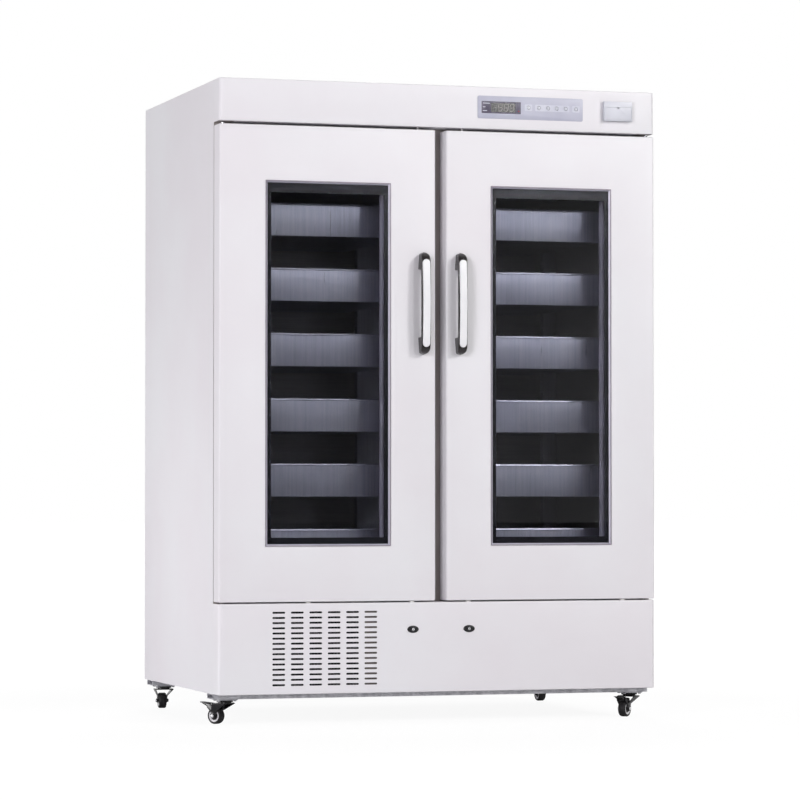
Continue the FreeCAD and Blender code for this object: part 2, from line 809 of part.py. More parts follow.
def handle_outline():
    """Side view of the pull: two feet, a bowed grip and rounded shoulders."""
    half = handle_len / 2
    front = -handle_reach + insert_proud
    turn = half - handle_shoulder
    shoulder = V(0, front + handle_crown, turn)
    tip = V(0, -seam, half)
    mid = V(0, front * handle_end_out, half - handle_shoulder * handle_end_in)
    grip = V(0, front, 0)
    inner_y = front + handle_bar
    finger = half - handle_foot
    step = handle_bar / 2
    bend = V(0, inner_y + step * handle_bend, finger - step * handle_bend)

    def low(p):
        return V(p.x, p.y, -p.z)

    foot_in = V(0, -seam, finger)
    bar_in0, bar_in1 = V(0, inner_y + step, finger), V(0, inner_y, finger - step)
    edges = [
        Part.Arc(tip, mid, shoulder).toShape(),
        Part.Arc(shoulder, grip, low(shoulder)).toShape(),
        Part.Arc(low(shoulder), low(mid), low(tip)).toShape(),
        Part.LineSegment(low(tip), low(foot_in)).toShape(),
        Part.LineSegment(low(foot_in), low(bar_in0)).toShape(),
        Part.Arc(low(bar_in0), low(bend), low(bar_in1)).toShape(),
        Part.LineSegment(low(bar_in1), bar_in1).toShape(),
        Part.Arc(bar_in1, bend, bar_in0).toShape(),
        Part.LineSegment(bar_in0, foot_in).toShape(),
        Part.LineSegment(foot_in, tip).toShape(),
    ]
    return Part.Face(Part.Wire(edges))


def handle():
    """Pull handle: a moulded body with round ends and a crowned insert let into its front."""
    x = door_x1 - handle_side - handle_w / 2
    z = window_z + handle_up
    body = handle_outline().extrude(V(handle_w, 0, 0))
    body.translate(V(-handle_w / 2, 0, 0))
    reach = handle_reach + handle_crown
    body = body.common(stadium(0, 0, handle_w, handle_len, -reach, reach))
    front = -handle_reach + insert_proud
    outer_rim = edges_if(
        body, lambda b: b.YMax < front + handle_crown + slack and b.ZLength > handle_len / 2
    )
    body = body.makeChamfer(handle_edge, outer_rim)
    half = insert_len / 2
    crown = handle_crown * (insert_len / (handle_len - 2 * handle_shoulder)) ** 2
    slab = bowed_face(0, half, -handle_reach, crown, -handle_reach + insert_t + crown)
    slab = slab.extrude(V(insert_w, 0, 0))
    slab.translate(V(-insert_w / 2, 0, 0))
    insert = slab.common(stadium(0, 0, insert_w, insert_len, -reach, reach))
    pocket_w, pocket_len = insert_w + 2 * insert_fit, insert_len + 2 * insert_fit
    pocket = stadium(0, 0, pocket_w, pocket_len, -reach, reach - handle_reach + insert_t + crown + seam)
    body = body.cut(pocket)
    pull = Part.Compound([body, insert])
    pull.translate(V(x, face_y, z))
    return pull


# Drawers and their rack


def drawer_top(row):
    return drawer_low_top + row * drawer_pitch


def drawer(row):
    """A sheet drawer of the left column; row 0 is the lowest."""
    x0, x1 = -side_x + drawer_side_in, -drawer_mid_gap / 2
    y0 = face_y + drawer_front_y
    y1 = y0 + drawer_len
    top, low = drawer_top(row), drawer_top(row) - drawer_front_h
    t = drawer_sheet
    rim = top - drawer_flange_drop
    bx0, bx1 = x0 + drawer_flange, x1 - drawer_flange
    floor_z = low + drawer_floor_up
    front = box(x0, x1, y0, y0 + t, low, top - hem_r)
    hem = rod(hem_r, V(x0, y0 - hem_r + t, top - hem_r), X_AXIS, x1 - x0)
    fold = box(x0, x1, y0, y0 + foot_fold, low, low + t)
    tray = box(bx0, bx1, y0, y1, floor_z, rim)
    tray = tray.cut(box(bx0 + t, bx1 - t, y0 + t, y1 - t, floor_z + t, rim))
    tray = tray.cut(box(bx0 + t, bx1 - t, y1 - 2 * t, y1 + t, rim - drawer_back_drop, rim))
    wings = [box(x0, bx0 + t, y0, y1, rim - t, rim), box(bx1 - t, x1, y0, y1, rim - t, rim)]
    return fuse([front, hem, fold, tray] + wings)


def rail(x_web, side, row):
    """One C-shaped rail; side is the way it opens, +1 towards +X."""
    rim = drawer_top(row) - drawer_flange_drop
    z0 = rim - drawer_sheet - rail_play - rail_t
    z1 = rim + rail_over + rail_t
    y0 = face_y + drawer_front_y + drawer_sheet + rail_start
    y1 = face_y + drawer_front_y + drawer_len
    x0, x1 = sorted((x_web, x_web + side * rail_leg))
    block = box(x0, x1, y0, y1, z0, z1)
    c0, c1 = sorted((x_web + side * rail_t, x_web + side * rail_leg))
    return block.cut(box(c0, c1, y0, y1, z0 + rail_t, z1 - rail_t))


def post(x0, x1, y0, z1):
    outer = box(x0, x1, y0, y0 + post_d, floor_top + seam, z1)
    return outer.cut(box(x0 + post_t, x1 - post_t, y0 + post_t, y0 + post_d, floor_top + seam, z1))


def drawer_rack():
    """Three ladders of posts and rails: at each side wall and behind the mullion."""
    y0 = face_y + drawer_front_y + drawer_sheet + rail_start + post_front
    y1 = face_y + drawer_front_y + drawer_len - post_rear - post_d
    web_side = -side_x + drawer_side_in - rail_side - rail_t
    web_mid = -drawer_mid_gap / 2 + rail_side + rail_t
    side = [post(-cavity_x + seam, web_side, y, post_top) for y in (y0, y1)]
    side += [rail(web_side, 1, row) for row in range(drawer_rows)]
    middle = [post(web_mid, -web_mid, y, post_top) for y in (y0, y1)]
    for row in range(drawer_rows):
        one = rail(web_mid, -1, row)
        middle += [one, mirrored(one)]
    side = fuse(side)
    return Part.Compound([side, fuse(middle), mirrored(side)])


# Head


def control_panel():
    """Overlay plate with a sunk display window and six button holes."""
    z0 = head_z0 + panel_z0
    plate = box(panel_x0, panel_x0 + panel_w, face_y - panel_t, face_y, z0, z0 + panel_hh)
    corners = edges_if(plate, lambda b: near(b.XLength, 0) and near(b.ZLength, 0))
    plate = plate.makeFillet(panel_r, corners)
    x = panel_x0 + display_in
    z = z0 + display_up
    before, floor = face_y - 2 * panel_t, face_y - panel_t + display_deep
    hole_r = button_r + button_hole
    cuts = [box(x, x + display_w, before, floor, z, z + display_h)]
    hole = [(before, hole_r), (face_y + panel_t, hole_r)]
    for along in button_at:
        cuts.append(facets(hole, panel_x0 + along, button_z, button_sides))
    plate = plate.cut(Part.Compound(cuts))
    return Part.Compound([plate, controller_case()])


def controller_case():
    """Open-fronted case of the controller, on the back of the head's front sheet."""
    x0, x1 = panel_x0 + case_in, panel_x0 + panel_w - case_in
    z0, z1 = head_z0 + panel_z0 + case_in, head_z0 + panel_z0 + panel_hh - case_in
    y0 = face_y + skin + seam
    case = box(x0, x1, y0, y0 + case_d, z0, z1)
    return case.cut(box(x0 + case_t, x1 - case_t, y0, y0 + case_d - case_t, z0 + case_t, z1 - case_t))


def button(x):
    """A key cap with a bevelled face, and its stem."""
    front = face_y - panel_t - button_proud
    sections = [
        (front, button_face_r), (front + button_bevel, button_r), (face_y + button_stem, button_r),
    ]
    return facets(sections, x, button_z, button_sides)


def printer_places():
    x0, z0 = printer_x0, head_z0 + printer_z0
    return x0, x0 + printer_w, z0, z0 + printer_hh


def printer_housing():
    """Recorder case: a proud frame, the fixed strip above the flap and the paper well behind it."""
    x0, x1, z0, z1 = printer_places()
    r, in_r = printer_rim, printer_rim + seam
    out_y, back_y = face_y - printer_proud, face_y + printer_depth
    front = box(x0, x1, out_y, face_y, z0, z1)
    well = box(x0 + in_r, x1 - in_r, face_y, back_y, z0 + in_r, z1 - in_r)
    mouth_top = z1 - printer_strip
    mouth = box(x0 + r, x1 - r, out_y, out_y + flap_t + flap_seat, z0 + r, mouth_top)
    paper = box(x0 + 2 * r, x1 - 2 * r, out_y + flap_t, back_y - r, z0 + 2 * r, mouth_top - r)
    case = fuse([front, well]).cut(Part.Compound([mouth, paper]))
    pins = flap_pins(flap_pin_r, (x0 + r, x1 - r - flap_pin_len))
    return fuse([case] + pins)


def flap_pins(radius, starts):
    """Two short rods on the flap's axis."""
    y, z = flap_pivot()
    return [rod(radius, V(x, y, z), X_AXIS, flap_pin_len) for x in starts]


def flap_pivot():
    """Y and Z of the pins that the printer's flap turns on."""
    return face_y - printer_proud + flap_t / 2, head_z0 + printer_z0 + printer_rim + flap_pin_up


def printer_flap():
    """Paper cover, hinged at its lower edge, with a finger notch at the top."""
    x0, x1, z0, z1 = printer_places()
    r = printer_rim
    a, b = x0 + r + flap_clear, x1 - r - flap_clear
    low, high = z0 + r + flap_clear, z1 - printer_strip - flap_clear
    y0 = face_y - printer_proud
    cover = box(a, b, y0, y0 + flap_t, low, high)
    lower = edges_if(cover, lambda e: near(e.ZMax, low) and e.XLength > slack)
    cover = cover.makeChamfer(flap_bevel, lower)
    bores = flap_pins(flap_pin_r + running, (a, b - flap_pin_len))
    mid = (a + b) / 2
    notch = box(mid - notch_w / 2, mid + notch_w / 2, y0, y0 + flap_t / 2, high - notch_h, high)
    return cover.cut(Part.Compound(bores + [notch]))


# Base and casters


def base_frame():
    """Sheet pan of the machine space on two hollow cross channels."""
    y0, y1 = frame_y + seam, rear_y - skin - seam
    x = side_x - skin - seam
    pan = box(-x, x, y0, y1, base_z, base_z + pan_lip)
    pan = pan.cut(box(-x + pan_t, x - pan_t, y0 + pan_t, y1 - pan_t, base_z + pan_t, base_z + pan_lip))
    bars = []
    for y in (channel_front_y, channel_rear_y):
        bar = box(-side_x, side_x, y, y + channel_d, caster_h, base_z)
        t = channel_t
        bars.append(bar.cut(box(-side_x, side_x, y + t, y + channel_d - t, caster_h + t, base_z - t)))
    return fuse([pan] + bars)


def caster_places():
    """Name, swivel axis and the way the wheel runs, for each caster."""
    x = side_x - caster_in
    y0, y1 = channel_front_y + channel_d / 2, channel_rear_y + channel_d / 2
    return [
        ("front_left", -x, y0, turn_front_left),
        ("front_right", x, y0, turn_front_right),
        ("rear_left", -x, y1, turn_rear_left),
        ("rear_right", x, y1, turn_rear_right),
    ]


def caster_plates():
    """Bolted top plate and upper race of each caster."""
    z1 = caster_h
    half = plate_side / 2
    plate = box(-half, half, -half, half, z1 - plate_t, z1)
    plate = plate.makeChamfer(plate_corner, edges_if(plate, lambda b: b.ZLength > slack))
    race = rod(race_r, V(0, 0, z1 - plate_t - race_h), Z_AXIS, race_h)
    at = half - bolt_in
    bolts = [
        hexagon(bolt_r, V(sx * at, sy * at, z1 - plate_t - bolt_head), Z_AXIS, bolt_head)
        for sx in (-1, 1) for sy in (-1, 1)
    ]
    one = fuse([plate, race] + bolts)
    plates = []
    for _, x, y, _ in caster_places():
        copy = one.copy()
        copy.translate(V(x, y, 0))
        plates.append(copy)
    return Part.Compound(plates)


def fork_leg():
    """One pressed leg: it comes in from the crown to the wheel, then drops to the axle."""
    y_top = crown_half - leg_t
    y_low = wheel_w / 2 + leg_gap
    z_top = crown_z() + leg_t / 2

    def section(x0, x1, y, z):
        return [V(x0, y, z), V(x1, y, z), V(x1, y + leg_t, z), V(x0, y + leg_t, z)]

    front, back = trail - leg_half_w, trail + leg_half_w
    top = section(-crown_front, crown_back, y_top, z_top)
    knee = section(front - leg_front, back, y_low, leg_knee)
    slope = skinned([top, knee])
    low = prism(
        [
            V(front - leg_front, y_low, leg_knee), V(back, y_low, leg_knee), V(back, y_low, wheel_r),
            V(trail + leg_toe, y_low, wheel_r - leg_toe_z),
            V(trail - leg_toe, y_low, wheel_r - leg_toe_z), V(front, y_low, wheel_r),
        ],
        V(0, leg_t, 0),
    )
    return fuse([slope, low])


def crown_z():
    """Underside of the fork's crown."""
    return caster_h - plate_t - race_h - race_play - neck_t - crown_t


def fork(with_pedal):
    """Swivel fork with its axle, built with the wheel's run along +X and the swivel at the origin."""
    z0 = crown_z()
    crown = box(-crown_front, crown_back, -crown_half, crown_half, z0, z0 + crown_t)
    crown = crown.makeChamfer(plate_corner, edges_if(crown, lambda b: b.ZLength > slack))
    neck = rod(race_r - neck_in, V(0, 0, z0 + crown_t), Z_AXIS, neck_t)
    leg = fork_leg()
    pieces = [crown, neck, leg, leg.mirror(ORIGIN, Y_AXIS)]
    outer = wheel_w / 2 + leg_gap + leg_t
    pieces.append(rod(axle_r, V(trail, -outer, wheel_r), Y_AXIS, 2 * outer))
    for y in (outer, -outer - axle_nut_t):
        pieces.append(hexagon(axle_nut_r, V(trail, y, wheel_r), Y_AXIS, axle_nut_t))
    if with_pedal:
        inner = wheel_w / 2 + leg_gap
        pieces += [pedal_ear(y) for y in (inner, -inner - leg_t)]
        pieces.append(rod(pedal_pin_r, V(ear_x, -inner, ear_z), Y_AXIS, 2 * inner))
    return fuse(pieces)


def pedal_ear(y):
    """A lug of the fork that holds one end of the pedal's pin."""
    outline = [
        V(trail - leg_half_w, y, leg_knee), V(trail + leg_half_w, y, leg_knee - ear_low),
        V(ear_x + ear_r, y, ear_z - ear_r / 2), V(ear_x + ear_r, y, ear_z + ear_r / 2),
        V(ear_x + ear_r / 2, y, ear_z + ear_r), V(ear_x - ear_r / 2, y, ear_z + ear_r),
        V(trail - ear_neck, y, ear_z + ear_neck),
    ]
    return prism(outline, V(0, leg_t, 0))


def wheel():
    """Wheel with flat facets round its tread and shoulders, dished sides and a round bore."""
    half = wheel_w / 2
    edge, inner = half - wheel_shoulder, half - wheel_dish
    tyre = facets(
        [(-half, wheel_side_r), (-edge, wheel_r), (edge, wheel_r), (half, wheel_side_r)],
        0, 0, wheel_sides,
    )
    dishes = [
        facets([(a, wheel_rim_r), (b, wheel_rim_r)], 0, 0, wheel_sides)
        for a, b in ((-half, -inner), (inner, half))
    ]
    bore = rod(axle_r + running, V(0, -half, 0), Y_AXIS, wheel_w)
    whole = tyre.cut(Part.Compound(dishes)).cut(bore)
    whole.translate(V(trail, 0, wheel_r))
    return whole


def brake_pedal():
    """Foot pedal on the fork's cross pin: a tread plate, two holed ribs and the hub."""
    half = wheel_w / 2 + leg_gap - seam
    hub = hexagon(pedal_hub_r, V(ear_x, -half, ear_z), Y_AXIS, 2 * half)
    tread = prism(
        [
            V(pedal_heel_x, -pedal_half, pedal_heel_z - pedal_t),
            V(pedal_reach, -pedal_half, pedal_tip_z - pedal_t),
            V(pedal_reach, -pedal_half, pedal_tip_z),
            V(pedal_heel_x, -pedal_half, pedal_heel_z),
        ],
        V(0, 2 * pedal_half, 0),
    )
    tips = edges_if(tread, lambda b: near(b.XMin, pedal_reach) and near(b.YLength, 0))
    tread = tread.makeChamfer(pedal_corner, tips)
    ribs = []
    for y in (-pedal_half, pedal_half - pedal_t):
        outline = [
            V(ear_x - pedal_rib_in, y, ear_z), V(ear_x + pedal_rib_out, y, ear_z - pedal_rib_drop),
            V(pedal_rib_end, y, pedal_heel_z), V(pedal_heel_x, y, pedal_heel_z - pedal_t / 2),
        ]
        ribs.append(prism(outline, V(0, pedal_t, 0)))
    cuts = [rod(pedal_pin_r + running, V(ear_x, -half, ear_z), Y_AXIS, 2 * half)]
    for x, z, radius in pedal_holes:
        cuts.append(hexagon(radius, V(x, -pedal_half, z), Y_AXIS, 2 * pedal_half))
    return fuse([hub, tread] + ribs).cut(Part.Compound(cuts))


def placed(shape, x, y, turn):
    copy = shape.copy()
    copy.rotate(ORIGIN, Z_AXIS, turn)
    copy.translate(V(x, y, 0))
    return copy


# Cold air unit and condensing unit


def fan_blade(hub_r, tip_r):
    """A pressed blade: a plate folded along its middle, at the fan's pitch, from hub to tip."""
    span = fan_hub_len - 2 * fan_edge
    half = span / 2 / math.sin(math.radians(fan_pitch)) * fan_chord
    t = fan_blade_t / 2
    section = [
        V(-half, 0, -t), V(0, 0, fan_camber - t), V(half, 0, -t),
        V(half, 0, t), V(0, 0, fan_camber + t), V(-half, 0, t),
    ]
    root = math.sqrt(hub_r ** 2 - (half * math.cos(math.radians(fan_pitch))) ** 2) - fan_edge
    blade = Part.Face(polygon(section)).extrude(V(0, tip_r - root, 0))
    blade.rotate(ORIGIN, X_AXIS, 90)
    blade.rotate(ORIGIN, Z_AXIS, fan_pitch)
    blade.translate(V(0, fan_hub_len / 2, root))
    return blade


def fan(hub_r, tip_r, x, y, z):
    """Axial fan: hub with a blind bore for the motor shaft, open towards +Y."""
    hub = rod(hub_r, V(0, 0, 0), Y_AXIS, fan_hub_len)
    blades = []
    for k in range(fan_blades):
        blade = fan_blade(hub_r, tip_r)
        blade.rotate(ORIGIN, Y_AXIS, 360.0 * k / fan_blades)
        blades.append(blade)
    bore = rod(fan_shaft_r + running, V(0, fan_hub_len - fan_bore_len, 0), Y_AXIS, fan_bore_len)
    whole = fuse([hub] + blades).cut(bore)
    whole.translate(V(x, y, z))
    return whole


def motor(x, y, z, reach):
    """Motor behind a fan, its shaft, and three struts out to the ring that carries it."""
    can = rod(motor_r, V(x, y, z), Y_AXIS, motor_len)
    length = fan_bore_len + seam
    shaft = rod(fan_shaft_r, V(x, y - length + shaft_end, z), Y_AXIS, length)
    struts = []
    for k in range(3):
        y0 = y + strut_t
        bar = box(-strut_w / 2, strut_w / 2, y0, y0 + strut_t, motor_r - strut_lap, reach)
        bar.rotate(ORIGIN, Y_AXIS, 120.0 * k)
        bar.translate(V(x, 0, z))
        struts.append(bar)
    return [can, shaft] + struts


def evap_places():
    y0 = cavity_y0 + evap_front
    z1 = ceiling - seam
    return y0, cavity_y1 - seam, z1 - evap_h, z1


def evaporator_housing():
    """Moulded air duct under the ceiling, with a fan mouth in front and outlet slots below."""
    y0, y1, z0, z1 = evap_places()
    x = cavity_x - evap_side

    def duct(t):
        """The duct's outline, t inside its outer faces."""
        knee = evap_slope + t / 2
        side = [
            V(t - x, y0 + t, z1), V(t - x, y0 + t, z0 + knee), V(t - x, y0 + knee, z0 + t),
            V(t - x, y1 - t, z0 + t), V(t - x, y1 - t, z1),
        ]
        return prism(side, V(2 * (x - t), 0, 0))

    zf = evap_fan_z()
    mouth_y = y0 - evap_ring_out
    tube_r = evap_fan_r + fan_tip_gap
    tube = rod(tube_r + evap_ring, V(0, mouth_y, zf), Y_AXIS, evap_ring_len)
    cuts = [rod(tube_r, V(0, mouth_y, zf), Y_AXIS, evap_ring_len)]
    low, high = z0 - evap_t, z0 + 2 * evap_t
    for side in (-1, 1):
        for k in range(evap_slots):
            cx = side * (evap_slot_first + k * evap_slot_dx)
            x0, x1 = cx - evap_slot_w / 2, cx + evap_slot_w / 2
            for behind in evap_slot_rows:
                cuts.append(box(x0, x1, y0 + behind, y0 + behind + evap_slot_h, low, high))
    shell = fuse([duct(0.0).cut(duct(evap_t)), tube]).cut(Part.Compound(cuts))
    reach = tube_r + evap_ring / 2
    guards = []
    for turn in (0.0, 90.0):
        bar = box(-reach, reach, mouth_y, mouth_y + guard_t, -guard_w / 2, guard_w / 2)
        bar.rotate(ORIGIN, Y_AXIS, turn)
        bar.translate(V(0, 0, zf))
        guards.append(bar)
    body_y = evap_fan_y() + fan_hub_len + seam
    return fuse([shell] + guards + motor(0, body_y, zf, reach))


def evap_fan_y():
    return evap_places()[0] + evap_fan_in


def evap_fan_z():
    return evap_places()[-1] - (evap_h - evap_slope) / 2 - evap_fan_drop


def condenser():
    """Finned coil between two end plates, with the fan's shroud and motor behind it."""
    y0 = face_y + cond_front
    y1 = y0 + cond_d
    y2 = y1 + shroud_d
    z0 = base_z + pan_t
    z1 = z0 + cond_foot + cond_h
    x0, x1 = cond_x0, cond_x0 + cond_w
    low = z0 + cond_foot
    t = cond_plate
    ends = [box(x, x + t, y0, y2, z0, z1) for x in (x0, x1 - t)]
    pitch = (cond_w - 2 * t) / (cond_fins + 1)
    fins = []
    for k in range(cond_fins):
        fx = x0 + t + (k + 1) * pitch
        fins.append(box(fx, fx + cond_fin_t, y0, y1, low, z1 - t))
    bars = [box(x0, x1, y0, y1, z, z + t) for z in (low, z1 - t)]
    xc, zc = cond_fan_xz()
    mouth_r = cond_fan_r + fan_tip_gap
    back = box(x0, x1, y2 - t, y2, low, z1)
    back = back.cut(rod(mouth_r, V(xc, y2 - t, zc), Y_AXIS, t))
    hood = box(x0, x1, y1, y2, z1 - t, z1)
    drive = motor(xc, y2 - strut_t, zc, mouth_r + cond_strut_lap)
    return fuse(ends + fins + bars + [back, hood] + drive)


def cond_fan_xz():
    z0 = base_z + pan_t + cond_foot
    return cond_x0 + cond_w / 2, z0 + cond_h / 2


def cond_fan_y():
    return face_y + cond_front + cond_d + shroud_d - fan_hub_len - seam - strut_t


def compressor():
    """Hermetic can on its foot plate, four rubber feet and the terminal box."""
    z0 = base_z + pan_t
    y = face_y + comp_y
    zp = z0 + comp_rubber
    zc = zp + comp_foot_t
    hx, hy = comp_foot_w / 2, comp_foot_d / 2
    r = 2 * comp_rubber
    feet = []
    for x0 in (comp_x - hx, comp_x + hx - r):
        for y0 in (y - hy, y + hy - r):
            feet.append(box(x0, x0 + r, y0, y0 + r, z0, zp))
    plate = box(comp_x - hx, comp_x + hx, y - hy, y + hy, zp, zc)
    can = facets(
        [(0, comp_dome_r), (comp_dome_h / 2, comp_r), (comp_h - comp_dome_h, comp_r),
         (comp_h, comp_dome_r)],
        0, 0, comp_sides,
    )
    can.rotate(ORIGIN, X_AXIS, 90)
    can.translate(V(comp_x, y, zc))
    zt = zc + comp_box_up
    half = comp_box_w / 2
    term = box(comp_x - half, comp_x + half, y - comp_r - comp_box_d, y, zt, zt + comp_box_h)
    return fuse(feet + [plate, can, term])


save("outer_shell", outer_shell())
save("rear_panel", rear_panel())
save("foam_insulation", foam_insulation())
save("inner_liner", inner_liner())
save("face_frame", face_frame())
save("head_fascia", head_fascia())
save("lower_panel", lower_panel())
save("left_lock", lock_barrel(-1))
save("right_lock", lock_barrel(1))
both_sides("door_shell", door_shell())
both_sides("door_liner", door_liner())
both_sides("door_gasket", door_gasket())
both_sides("window_trim", window_trim())
both_sides("glazing", glazing())
both_sides("handle", handle())
for row in range(drawer_rows):
    both_sides("drawer_%d" % (drawer_rows - row), drawer(row))
save("drawer_rack", drawer_rack())
save("control_panel", control_panel())
for index, along in enumerate(button_at):
    save("button_%d" % (index + 1), button(panel_x0 + along))
save("printer_housing", printer_housing())
save("printer_flap", printer_flap())
save("base_frame", base_frame())
save("caster_plates", caster_plates())
for name, x, y, turn in caster_places():
    braked = name.startswith("front")
    save("caster_fork_" + name, placed(fork(braked), x, y, turn))
    save("caster_wheel_" + name, placed(wheel(), x, y, turn))
    if braked:
        save("brake_pedal_" + name, placed(brake_pedal(), x, y, turn))
save("evaporator_housing", evaporator_housing())
save("evaporator_fan", fan(fan_hub_r, evap_fan_r, 0, evap_fan_y(), evap_fan_z()))
save("condenser", condenser())
fan_x, fan_z = cond_fan_xz()
save("condenser_fan", fan(cond_hub_r, cond_fan_r, fan_x, cond_fan_y(), fan_z))
save("compressor", compressor())
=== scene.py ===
# %% [markdown]
# # Dressing a two-door blood bank refrigerator
# The cabinet comes as a fixed frame: boxes, bodies and joints that were made as CAD.
# This notebook gives it its visible skin. A cell of text says what each piece is on the real
# cabinet, how it could be made, and why it is made this way; the code cell after it makes it.
# Everything is in metres: the doors face -Y, +Z is up, and the floor is at zero.

# %% Load the frame
import bpy
import bmesh
import json
import math
from mathutils import Matrix, Vector


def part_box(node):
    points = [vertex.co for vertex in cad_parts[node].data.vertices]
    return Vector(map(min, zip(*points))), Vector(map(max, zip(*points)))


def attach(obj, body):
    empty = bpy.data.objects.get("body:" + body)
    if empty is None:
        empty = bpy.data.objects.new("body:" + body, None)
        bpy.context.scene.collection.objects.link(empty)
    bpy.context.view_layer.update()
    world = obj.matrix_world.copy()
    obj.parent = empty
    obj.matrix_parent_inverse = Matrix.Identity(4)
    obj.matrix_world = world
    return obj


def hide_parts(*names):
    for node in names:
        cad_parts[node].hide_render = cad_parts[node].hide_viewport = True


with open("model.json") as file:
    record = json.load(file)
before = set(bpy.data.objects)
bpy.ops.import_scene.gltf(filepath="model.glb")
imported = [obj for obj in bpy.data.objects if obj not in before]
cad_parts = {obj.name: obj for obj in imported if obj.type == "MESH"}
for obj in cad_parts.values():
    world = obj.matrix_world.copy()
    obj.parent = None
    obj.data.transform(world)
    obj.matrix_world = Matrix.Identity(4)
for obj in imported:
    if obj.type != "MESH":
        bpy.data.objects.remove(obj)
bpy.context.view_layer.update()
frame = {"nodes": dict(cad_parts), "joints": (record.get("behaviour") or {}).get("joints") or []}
scene = bpy.context.scene
mm = 0.001
sides = (("left", -1), ("right", 1))

# %% [markdown]
# ## Camera
# A product photograph is taken from far away with a long lens, so that upright edges stay upright.
# The eye, the turn and the focal length were fitted to the cabinet's edges, and are kept as numbers.

# %% Camera
image_px, focal_px, sensor_mm = 800, 3458.0, 36.0
yaw, pitch = math.radians(17.46), math.radians(1.48)
eye = Vector((-3.2905, -10.5025, 0.7098))
look = Vector((math.sin(yaw) * math.cos(pitch), math.cos(yaw) * math.cos(pitch), math.sin(pitch)))

camera_data = bpy.data.cameras.new("camera")
camera_data.sensor_width = sensor_mm
camera_data.lens = focal_px / image_px * sensor_mm
camera_data.clip_end = 200.0
camera = bpy.data.objects.new("camera", camera_data)
camera.location = eye
camera.rotation_mode = "QUATERNION"
camera.rotation_quaternion = look.to_track_quat("-Z", "Y")
scene.collection.objects.link(camera)
scene.camera = camera
scene.view_settings.view_transform = "Standard"
print("lens:", round(camera_data.lens, 1), "mm")

# %% [markdown]
# ## Shader groups
# Four effects turn up on many surfaces: the orange peel and faint blotches of a sprayed coat, the
# grain of brushed metal, bare edges where a coat has worn through, and dust on what faces up.
# Each is one node group with named inputs, so that every finish can place it with its own values.

# %% Small node helpers
socket_kinds = {"vector": "NodeSocketVector", "color": "NodeSocketColor", "value": "NodeSocketFloat"}


def shader_group(name, inputs, outputs):
    """An empty shader group with named sockets, and the sockets to wire."""
    tree = bpy.data.node_groups.new(name, "ShaderNodeTree")
    for way, sockets in (("INPUT", inputs), ("OUTPUT", outputs)):
        for label, kind in sockets.items():
            tree.interface.new_socket(name=label, in_out=way, socket_type=socket_kinds[kind])
    return tree, tree.nodes.new("NodeGroupInput").outputs, tree.nodes.new("NodeGroupOutput").inputs


def add(tree, kind, inputs=(), **settings):
    """One node, with its settings and with each input linked or set."""
    made = tree.nodes.new(kind)
    for key, value in settings.items():
        setattr(made, key, value)
    for key, value in dict(inputs).items():
        if isinstance(value, bpy.types.NodeSocket):
            tree.links.new(value, made.inputs[key])
        else:
            made.inputs[key].default_value = value
    return made


def wire(tree, sockets, values):
    for label, value in values.items():
        tree.links.new(value, sockets[label])


def noise(tree, where, scale, detail=3.0):
    values = {"Vector": where, "Scale": scale, "Detail": detail}
    return add(tree, "ShaderNodeTexNoise", values).outputs[0]


def ramp(tree, value, low, high, start=0.0, end=1.0):
    values = {"Value": value, "From Min": low, "From Max": high, "To Min": start, "To Max": end}
    return add(tree, "ShaderNodeMapRange", values).outputs[0]


def blend(tree, share, first, second):
    """A colour between two others."""
    return add(tree, "ShaderNodeMix", {0: share, 6: first, 7: second}, data_type="RGBA").outputs[2]


def math_node(tree, operation, *values):
    """What one math node makes of up to three values."""
    return add(tree, "ShaderNodeMath", dict(enumerate(values)), operation=operation).outputs[0]


def times(tree, first, second):
    return math_node(tree, "MULTIPLY", first, second)


def around(tree, value, middle, spread):
    """A number that wanders about its middle with a noise value."""
    return math_node(tree, "MULTIPLY_ADD", math_node(tree, "SUBTRACT", value, 0.5), spread, middle)


print("node helpers ready")

# %% Sprayed coat and brushed metal
surface_inputs = {"Vector": "vector", "Pale": "color", "Deep": "color", "Blotch": "value",
                  "Grain": "value", "Roughness": "value", "Spread": "value"}
surface_outputs = {"Color": "color", "Roughness": "value", "Height": "value"}

coat_group, given, result = shader_group("sprayed_coat", surface_inputs, surface_outputs)
blotch = noise(coat_group, given["Vector"], given["Blotch"])
tone = ramp(coat_group, blotch, 0.35, 0.65)
wire(coat_group, result, {
    "Color": blend(coat_group, tone, given["Pale"], given["Deep"]),
    "Roughness": around(coat_group, blotch, given["Roughness"], given["Spread"]),
    "Height": noise(coat_group, given["Vector"], given["Grain"], 1.5)})

brushed_group, given, result = shader_group(
    "brushed_metal", {**surface_inputs, "Stretch": "vector"}, surface_outputs)
stretched = add(brushed_group, "ShaderNodeVectorMath", {0: given["Vector"], 1: given["Stretch"]},
                operation="MULTIPLY").outputs[0]
streak = noise(brushed_group, stretched, given["Grain"], 5.0)
cloud = noise(brushed_group, given["Vector"], given["Blotch"])
tone = ramp(brushed_group, math_node(brushed_group, "ADD", streak, cloud), 0.75, 1.25)
wire(brushed_group, result, {
    "Color": blend(brushed_group, tone, given["Pale"], given["Deep"]),
    "Roughness": around(brushed_group, streak, given["Roughness"], given["Spread"]),
    "Height": streak})
print("surface effects:", coat_group.name, brushed_group.name)

